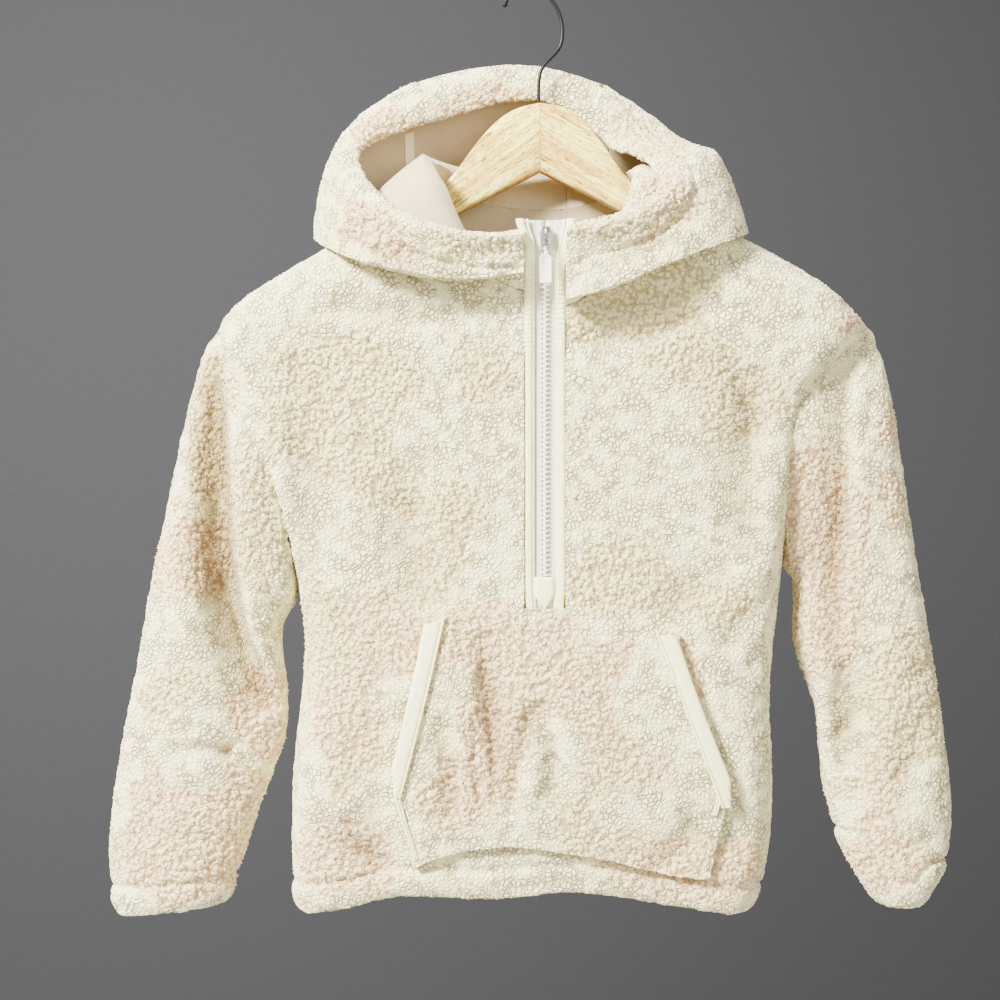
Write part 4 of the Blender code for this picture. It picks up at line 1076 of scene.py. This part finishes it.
def seen_from_front(tree, x, z):
    """How far back, in mm, the first surface lies that is met at x and z, or None."""
    hit = tree.ray_cast(Vector((x * MM, BEFORE_ALL, z * MM)), Vector((0, 1, 0)))[0]
    return None if hit is None else hit.y / MM


def eased(values, reach):
    """A running mean over reach values to either side."""
    padded = np.pad(np.asarray(values, float), reach, mode="edge")
    return np.convolve(padded, np.ones(2 * reach + 1) / (2 * reach + 1), "valid")


def soft_step(value, low, high):
    t = np.clip((value - low) / (high - low), 0, 1)
    return t * t * (3 - 2 * t)


def band(name, origins, sides, outs, profile, finish):
    """A closed band swept along a line. Each row of the profile is the outline at one
    place, as points (across, out) in mm."""
    return tube(name, origins[:, None] + profile[..., :1] * sides[:, None]
                + profile[..., 1:] * outs[:, None], finish)


def round_profile(radius, sides, across, out):
    turns = np.arange(sides) * 2 * math.pi / sides
    return np.stack([across + radius * np.cos(turns), out + radius * np.sin(turns)], 1)


STITCH_PITCH, STITCH_LENGTH, STITCH_RADIUS = 2.7, 1.9, 0.24


def stitches(name, path, outs):
    """A row of raised stitches along a line of points."""
    step = np.linalg.norm(np.diff(path, axis=0), axis=1)
    run = np.concatenate([[0], np.cumsum(step)])
    at = np.arange(STITCH_PITCH / 2, run[-1], STITCH_PITCH)
    middle = columns_at(at, run, path)
    ahead = unit(columns_at(at + 0.5, run, path) - columns_at(at - 0.5, run, path))
    out = unit(columns_at(at, run, outs))
    side = np.cross(out, ahead)
    reach = STITCH_LENGTH * ahead
    rings = [middle + shift * reach
             + STITCH_RADIUS * (math.cos(turn) * side + math.sin(turn) * out)
             for shift in (-0.3, 0.3) for turn in np.radians((45, 135, 225, 315))]
    points = np.stack([middle - reach / 2, *rings, middle + reach / 2], 1).reshape(-1, 3)
    shape = [(0, 1 + (k + 1) % 4, 1 + k) for k in range(4)]
    shape += [(1 + k, 1 + (k + 1) % 4, 5 + (k + 1) % 4, 5 + k) for k in range(4)]
    shape += [(9, 5 + k, 5 + (k + 1) % 4) for k in range(4)]
    faces = [tuple(10 * n + v for v in face) for n in range(len(at)) for face in shape]
    return dress(closed_object(name, points, faces, THREAD))


def joined(name, pieces):
    """One piece from several that have the same finish, at rest on the same body."""
    bm = gathered(piece.data for piece in pieces)
    mesh = bpy.data.meshes.new(name)
    bm.to_mesh(mesh)
    bm.free()
    mesh.materials.append(pieces[0].data.materials[0])
    for piece in pieces:
        bpy.data.objects.remove(piece, do_unlink=True)
    return placed(name, mesh)


# ---- the zip
zip_low, zip_high = box_of("zip_chain")
tape_low, tape_high = box_of("zip_tape_left")
ZIP_X = (zip_low[0] + zip_high[0]) / 2
CHAIN_TOP, CHAIN_FOOT = zip_high[2], zip_low[2]
TAPE_TOP, TAPE_FOOT = tape_high[2] - 1, tape_low[2] + 0.5
TUCK = 7.0                    # of the zip's foot lies under the top edge of the pocket
zip_z = np.arange(TAPE_TOP, TAPE_FOOT - TUCK, -0.9)
tape_tree = cad_tree("zip_tape_left")
zip_y = eased([seen_from_front(tape_tree, ZIP_X - 6, max(z, TAPE_FOOT)) for z in zip_z], 6)
zip_y += 0.3 * np.maximum(TAPE_FOOT - zip_z, 0)
zip_slope = eased(np.gradient(zip_y, zip_z), 4)
zip_out = unit(np.stack([0 * zip_z, -1 + 0 * zip_z, zip_slope], 1))
zip_line = np.stack([ZIP_X + 0 * zip_z, zip_y, zip_z], 1)
zip_side = np.tile(X_AXIS, (len(zip_z), 1))
ZIP_ROWS = (zip_line, zip_side, zip_out)


def zip_frame(z):
    """Middle of the tape's front at each height and the way it faces."""
    return columns_at(-z, -zip_z, zip_line), columns_at(-z, -zip_z, zip_out)


FLARE_REACH = {-1: 20.0, 1: 34.0}    # how far below its top each edge starts to lean
FLARE_ASIDE, FLARE_AHEAD = 6.5, 2.8


def flare(side, z):
    """How far a zip edge leans outward and forward near the top."""
    lean = soft_step(z, TAPE_TOP - FLARE_REACH[side], TAPE_TOP)
    return FLARE_ASIDE * lean, FLARE_AHEAD * lean


def puckers(z, side):
    """Small uneven ribs across the bindings, closest below the slider."""
    strong = soft_step(-z, 225, 236) * (1 - soft_step(-z, 276, 300))
    wave = np.sin(2 * math.pi * z / 3.6 + 1.2 * np.sin(z / 9.0 + side))
    return wave * (0.06 + 0.26 * strong) + 0.12 * np.sin(z / 13.0 + 2 * side)


def sewn_end(side, z):
    """The bindings lean in where the pocket's seam catches them."""
    return -side * 1.1 * soft_step(-z, 462, 480)


def zip_edges(side, word):
    """Binding, piping and two rows of stitches along one edge of the front opening."""
    lean, lift = flare(side, zip_z)
    rib = puckers(zip_z, side)
    pull = sewn_end(side, zip_z)

    def outline(rows):
        """Rows of (across, out, share of the pucker) turned into one outline per height."""
        across = np.stack([side * u + side * lean + pull for u, _, _ in rows], 1)
        out = np.stack([v + lift + share * rib for _, v, share in rows], 1)
        return np.stack([across, out], 2)

    binding = outline([(9.3, 0.3, 0), (9.1, 1.5, 0.3), (9.6, 2.4, 0.8), (10.8, 2.75, 1),
                       (12.4, 3.0, 1), (14.2, 2.8, 1), (15.2, 2.2, 0.8), (15.5, 1.2, 0.3),
                       (15.2, 0.3, 0)])
    piping = np.stack([round_profile(0.85, 7, side * (8.5 + 0.8 * a) + p, 1.3 + b)
                       for a, b, p in zip(lean, lift, pull)])
    node = f"zip_binding_{word}"
    made = [dress(band(node + "_cloth", *ZIP_ROWS, binding, TRIM), node),
            dress(band(f"zip_piping_{word}", *ZIP_ROWS, piping, TRIM))]
    for row, at in (("inner", 10.3), ("outer", 14.6)):
        shift = (side * (at + lean) + pull)[:, None]
        path = zip_line + shift * zip_side + (2.8 + lift + 0.8 * rib)[:, None] * zip_out
        made.append(stitches(f"zip_stitches_{word}_{row}", path, zip_out))
    return made


TAPE_WIDTH = 12.4             # of one half of the tape


def zip_tape(side, word):
    """Half of the woven tape, with the cord under the teeth and a fine rib beside it."""
    lean, lift = flare(side, zip_z)
    rows = [(0.25, -0.75), (0.25, 0.1), (2.9, 0.1), (3.7, 0.6), (4.5, 0.1), (6.1, 0.05),
            (6.6, 0.35), (7.1, 0.05), (9.4, 0.0), (TAPE_WIDTH, 0.0), (TAPE_WIDTH, -0.75)]
    across = np.stack([side * (u + lean * (u / TAPE_WIDTH) ** 2) for u, _ in rows], 1)
    out = np.stack([v + lift * (u / TAPE_WIDTH) ** 2 for u, v in rows], 1)
    node = f"zip_tape_{word}"
    return dress(band(node + "_cloth", *ZIP_ROWS, np.stack([across, out], 2), TAPE), node)


TOOTH_PITCH = 3.7
TOOTH = [(-3.3, 0.62), (-1.2, 0.62), (-0.4, 0.95), (0.6, 1.02), (1.2, 0.6),
         (1.2, -0.6), (0.6, -1.02), (-0.4, -0.95), (-1.2, -0.62), (-3.3, -0.62)]


def zip_teeth():
    """Moulded teeth that clasp each other from both sides."""
    layers = [(0.15, 1.0), (1.75, 1.0), (2.35, 0.8)]
    tooth = np.array(TOOTH)
    middle = tooth.mean(0)
    points, faces = [], []
    for k, z in enumerate(np.arange(CHAIN_TOP - 1, CHAIN_FOOT + 1, -TOOTH_PITCH / 2)):
        side = 1 if k % 2 else -1
        line, out = zip_frame(z)
        down = np.cross(X_AXIS, out)
        faces += [tuple(len(points) + v for v in face) for face in skin(len(layers), len(tooth))]
        for lift, size in layers:
            for u, w in (middle + (tooth - middle) * size):
                points.append(line + side * u * X_AXIS + lift * out + w * down)
    piece = closed_object("zip_teeth", points, faces, TEETH)
    piece.data.shade_flat()
    return dress(piece, "zip_chain")


STOP_LENGTH, STOP_HALF, STOP_DIP = 23.5, 7.9, 1.7


def zip_stop():
    """Patch over the foot of the zip: its top edge dips and its foot ends in a point."""
    shape = np.array([(-1, 0.4), (-1, 1.5), (-0.9, 2.1), (-0.5, 2.5), (0, 2.6),
                      (0.5, 2.5), (0.9, 2.1), (1, 1.5), (1, 0.4)])
    rings = []
    for down in np.linspace(0, 1, 33):
        half = max(STOP_HALF * (1 - 0.04 * down - max(down - 0.62, 0) / 0.38 * 0.9), 0.5)
        swell = 0.9 * math.sin(math.pi * min(down + 0.06, 1)) ** 0.6
        ring = []
        for across, lift in shape:
            dip = STOP_DIP * (1 - across ** 2) * (1 - down)
            z = CHAIN_FOOT + 0.8 - STOP_LENGTH * down - dip
            line, out = zip_frame(z)
            ring.append(line + half * across * X_AXIS + (lift + swell * (lift > 2)) * out)
        rings.append(ring)
    return dress(tube("zip_stop_patch", rings, TRIM), "zip_stop")


on_sheet["front_fleece"] += [*zip_edges(-1, "left"), *zip_edges(1, "right"), zip_tape(-1, "left"),
                             zip_tape(1, "right"), zip_stop(), zip_teeth()]


ARC_STEPS = 3


def rounded(outline, radius):
    """An outline (x, z) with each of its corners turned into an arc."""
    corners = np.asarray(outline, float)
    before = unit(np.roll(corners, 1, 0) - corners) * radius
    after = unit(np.roll(corners, -1, 0) - corners) * radius
    points = []
    for corner, a, b in zip(corners, before, after):
        for t in np.linspace(0, 1, ARC_STEPS + 1):
            points.append(corner + a * (1 - t) ** 2 + b * t ** 2)
    return np.array(points)


def plate(name, outline, front_y, back_y, finish, bevel, sunk=None):
    """A flat plate with rounded edges; sunk is a border's width and how deep the front
    lies inside it."""
    outline = np.asarray(outline, float)
    middle = outline.mean(0)
    reach = np.abs(outline - middle).max(0)
    insets = [(back_y, 0.0), (front_y + bevel, 0.0), (front_y + 0.3 * bevel, 0.3 * bevel),
              (front_y, bevel)]
    if sunk:
        border, depth = sunk
        insets += [(front_y, border), (front_y + depth, border + 0.4)]
    return tube(name, [[(x, y, z) for x, z in middle + (outline - middle) * (1 - inset / reach)]
                       for y, inset in insets], finish)


def zip_slider():
    """Slider body: two plates with a wedge between them and flanges down the sides."""
    low, high = box_of("zip_slider")
    x = (low[0] + high[0]) / 2
    half = (high[0] - low[0]) / 2
    top, foot = high[2], low[2]
    shield = rounded([(x - 0.72 * half, top), (x + 0.72 * half, top), (x + half, top - 3.4),
                      (x + half, top - 6.5), (x + 0.7 * half, foot), (x - 0.7 * half, foot),
                      (x - half, top - 6.5), (x - half, top - 3.4)], 1.1)
    parts = [plate("slider_front", shield, low[1], low[1] + 1.2, STEEL, 0.35, sunk=(1.2, 0.2)),
             plate("slider_back", shield, high[1] - 1.2, high[1], STEEL, 0.3)]
    for side in (-1, 1):
        wall = [(x + side * (half - 0.9), top - 3.6), (x + side * half, top - 3.6),
                (x + side * half, top - 7), (x + side * (0.72 * half), foot + 0.4),
                (x + side * (0.72 * half - 0.9), foot + 0.4), (x + side * (half - 0.9), top - 7)]
        parts.append(plate("slider_flange", wall, low[1] + 0.8, high[1] - 0.8, STEEL, 0.1))
    wedge = rounded([(x - 1.3, top - 0.6), (x + 1.3, top - 0.6), (x, top - 6)], 0.6)
    parts.append(plate("slider_wedge", wedge, low[1] + 0.8, high[1] - 0.8, STEEL, 0.1))
    return dress(joined("zip_slider_body", parts), "zip_slider")


def pull_tab():
    """Moulded grip with a sunk face, and the eye that holds it on the link."""
    low, high = box_of("zip_tab")
    x = (low[0] + high[0]) / 2
    half = (high[0] - low[0]) / 2
    grip = rounded([(x - 0.62 * half, high[2]), (x + 0.62 * half, high[2]),
                    (x + half, high[2] - 2.6), (x + half, low[2]), (x - half, low[2]),
                    (x - half, high[2] - 2.6)], 0.9)
    plates = plate("tab_grip", grip, low[1], high[1], PULL, 0.35, sunk=(0.9, 0.3))
    eye_y = (low[1] + high[1]) / 2
    eye_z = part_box("zip_link")[0].z / MM + 0.4
    turns = np.linspace(0, 2 * math.pi, 15)[:-1]
    eye = tube("tab_eye", [[(x + u, eye_y + size * math.cos(t), eye_z + size * math.sin(t))
                            for t in turns]
                           for u, size in ((-1.5, 1.0), (-1.2, 1.25), (1.2, 1.25), (1.5, 1.0))], PULL)
    return dress(joined("zip_tab_grip", [plates, eye]), "zip_tab", "zip_pull")


zip_slider()
pull_tab()


# ---- pocket bindings
def strip_edges(tree, x_range, z_rows):
    """For each height the x of both edges of a strip seen from the front, and their y."""
    rows = []
    for z in z_rows:
        seen = [(x, y) for x in np.arange(*x_range, 0.5)
                for y in (seen_from_front(tree, x, z),) if y is not None]
        rows.append((seen[0][0], seen[-1][0], seen[0][1], seen[-1][1]))
    return np.array(rows).T


def fitted(z, values, degree, sure):
    """The values as a smooth curve of the height, fitted where they are sure."""
    curve = np.polyfit(z[sure] - z.mean(), values[sure], degree)
    return np.polyval(curve, z - z.mean())


# cross-section of a pocket binding: share of the width, and height in mm. The piping is
# first, then a groove, then the flat satin strip.
POCKET_STRIP = [(0.0, -1.2), (0.0, 0.2), (0.03, 0.9), (0.07, 1.1), (0.11, 0.9), (0.135, 0.0),
                (0.15, -0.5), (0.165, 0.2), (0.2, 0.75), (0.35, 0.9), (0.6, 0.95),
                (0.85, 0.8), (0.96, 0.35), (1.0, -0.4), (0.98, -1.2)]


PIPING_AHEAD = 4.5            # the piping starts this much higher than the strip
STRIP_CORNER = 2.5
MITRE_WIDTH, MITRE_LENGTH = 9.5, 22.0


def pocket_binding(side, word):
    """Satin strip along the pocket's opening: piping on its inner edge that starts a
    little higher, a rounded top corner and a mitred foot."""
    node = f"pocket_binding_{word}"
    low, high = box_of(node)
    z = np.arange(high[2] - 0.6, low[2] + 0.6, -0.8)
    left, right, left_y, right_y = strip_edges(cad_tree(node), (low[0] - 1, high[0] + 1), z)
    from_top = high[2] - z
    from_foot = z - low[2]
    sure = (from_top > 9) & (from_foot > 24)
    left, right = fitted(z, left, 2, sure), fitted(z, right, 2, sure)
    left_y, right_y = eased(left_y, 9), eased(right_y, 9)
    outer, inner = (left, right) if side < 0 else (right, left)
    outer_y, inner_y = (left_y, right_y) if side < 0 else (right_y, left_y)
    width = np.abs(outer - inner)
    below = from_top - PIPING_AHEAD
    arc = np.maximum(STRIP_CORNER ** 2 - np.maximum(STRIP_CORNER - below, 0) ** 2, 0)
    cut = np.where(below < 0, width, STRIP_CORNER - np.sqrt(arc))
    cut += MITRE_WIDTH * np.clip(1 - from_foot / MITRE_LENGTH, 0, 1)
    limit = np.maximum(width - cut, 0.14 * width)
    origins = np.stack([inner, inner_y, z], 1)
    sides = unit(np.stack([outer - inner, outer_y - inner_y, 0 * z], 1))
    outs = unit(np.cross(sides, np.tile([0, 0, 1.0], (len(z), 1))))
    outs *= -np.sign(outs[:, 1:2])
    wave = 0.16 * np.sin(z / 11.0 + side) + 0.06 * np.sin(z / 2.3)
    profile = []
    for share, lift in POCKET_STRIP:
        across = share * width
        across = np.where(across < limit, across, limit + 0.02 * (across - limit))
        profile.append(np.stack([across, lift + (0.2 < share < 0.9) * wave], 1))
    made = [dress(band(node + "_cloth", origins, sides, outs, np.stack(profile, 1), TRIM),
                  node)]
    path = origins + 0.22 * width[:, None] * sides + 0.75 * outs
    made.append(stitches(node + "_stitches", path[8:-4], outs[8:-4]))
    return made, origins[-1] + 0.3 * limit[-1] * sides[-1]


def pocket_tail(word, start, ends):
    """Two narrow folds of the binding, caught in the pocket's side seam below it. The
    ends are x and z of the corners that they run through."""
    tree = cad_tree("pocket", "front")
    corners = np.array([(start[0], start[2]), *ends])
    run = np.linspace(0, len(corners) - 1, 60)
    x = eased(np.interp(run, range(len(corners)), corners[:, 0]), 4)
    z = np.interp(run, range(len(corners)), corners[:, 1])
    y = eased([seen_from_front(tree, a, b) for a, b in zip(x, z)], 5)
    line = np.stack([x, y, z], 1)
    ahead = unit(np.gradient(line, axis=0))
    outs = np.tile([0.0, -1.0, 0.0], (len(run), 1))
    sides = unit(np.cross(outs, ahead))
    taper = 1 - 0.45 * run / run[-1]
    made = []
    for fold, shift in (("outer", -1.3), ("inner", 1.5)):
        profile = np.stack([round_profile(1.25 * t, 8, shift * t, 0.7) for t in taper])
        name = f"pocket_tail_{word}_{fold}"
        made.append(dress(band(name, line, sides, outs, profile, TRIM)))
    return made


(left_binding, left_foot), (right_binding, right_foot) = (
    pocket_binding(side, word) for side, word in ((-1, "left"), (1, "right")))
on_sheet["pocket_fleece"] += [
    *left_binding, *right_binding,
    *pocket_tail("left", left_foot, [(-103, -615), (-96, -640), (-87, -668)]),
    *pocket_tail("right", right_foot, [(139, -618), (135, -634)])]


# ---- hanger
def plain_piece(node, finish, levels=2, body="garment"):
    """A smoother copy of a CAD solid, in one finish."""
    piece = smoothed(welded(node), node + "_finished", levels)
    piece.data.materials.clear()
    piece.data.materials.append(finish)
    piece.data.shade_smooth()
    return dress(piece, node, body)


def add_grain(mesh, slope, shift):
    """Places measured along the arm for the grain to follow, and how edge-on each one is, for the
    painted shade on the wood's edges.
    """
    points = points_of(mesh) * MM
    along = points[:, 0] * math.cos(slope) + points[:, 2] * math.sin(slope)
    aside = points[:, 2] * math.cos(slope) - points[:, 0] * math.sin(slope)
    keep_vectors(mesh, "grain", np.stack([along + shift, points[:, 1], aside], 1))
    keep(mesh, "edge", 1 - np.abs(normals_of(mesh)[:, 1]))


for node, degrees, shift in (("hanger_left", 36, 0.0), ("hanger_right", -30, 0.5)):
    add_grain(plain_piece(node, WOOD).data, math.radians(degrees), shift)
plain_piece("hanger_hook", DARK_STEEL)
plain_piece("zip_bail", STEEL)
plain_piece("zip_link", STEEL, body="zip_pull")
on_sheet["hood_left_fleece"].append(plain_piece("hood_tape", HOOD_TAPE, levels=3))


# ---- camera, light, stage
def add_area(name, place, size, power, colour):
    """A square lamp that looks at the middle of the garment."""
    data = bpy.data.lights.new(name, "AREA")
    data.size = size
    data.energy = power
    data.color = colour
    lamp = placed(name, data)
    lamp.location = place
    lamp.rotation_euler = (CENTRE - lamp.location).to_track_quat("-Z", "Y").to_euler()


def add_plane(name, corners, finish):
    mesh = bpy.data.meshes.new(name)
    mesh.from_pydata(corners, [], [(0, 1, 2, 3)])
    mesh.materials.append(finish)
    placed(name, mesh)


CENTRE = Vector((0.0, 0.0, -0.4))
STAGE_X = 4.0                 # half the width of the floor and the wall
FLOOR_Z = -1.75
WALL_Y = 2.3
WALL_TOP = 2.5
add_plane("floor", [(-STAGE_X, -4, FLOOR_Z), (STAGE_X, -4, FLOOR_Z), (STAGE_X, WALL_Y, FLOOR_Z),
                    (-STAGE_X, WALL_Y, FLOOR_Z)], wall_material("pale_floor", (0.62, 0.61, 0.59)))
add_plane("wall", [(-STAGE_X, WALL_Y, FLOOR_Z), (STAGE_X, WALL_Y, FLOOR_Z),
                   (STAGE_X, WALL_Y, WALL_TOP), (-STAGE_X, WALL_Y, WALL_TOP)],
          wall_material("grey_wall", (0.035, 0.037, 0.0445)))
add_area("key", (-1.75, -1.5, 1.2), 0.6, 640, (1.0, 0.96, 0.87))
add_area("fill", (1.2, -2.0, 0.2), 1.8, 55, (1.0, 0.95, 0.88))
add_area("top", (0.0, 0.4, 1.5), 1.2, 60, (1.0, 0.97, 0.92))

world = bpy.data.worlds.new("studio")
world.use_nodes = True
sky = world.node_tree.nodes["Background"].inputs
sky["Color"].default_value = (1.0, 0.97, 0.93, 1)
sky["Strength"].default_value = 0.30
bpy.context.scene.world = world

CAMERA_AWAY = 1.15            # from the hanger to the camera, in metres
PHOTO_WIDTH = 0.78            # metres across the photo at the hanger
SENSOR = 36.0
camera_data = bpy.data.cameras.new("camera")
camera_data.sensor_width = SENSOR
camera_data.lens = SENSOR * CAMERA_AWAY / PHOTO_WIDTH
camera = placed("camera", camera_data)
camera.location = (-0.02496, -CAMERA_AWAY, -0.3994)
camera.rotation_euler = (math.radians(90), 0, 0)
bpy.context.scene.camera = camera
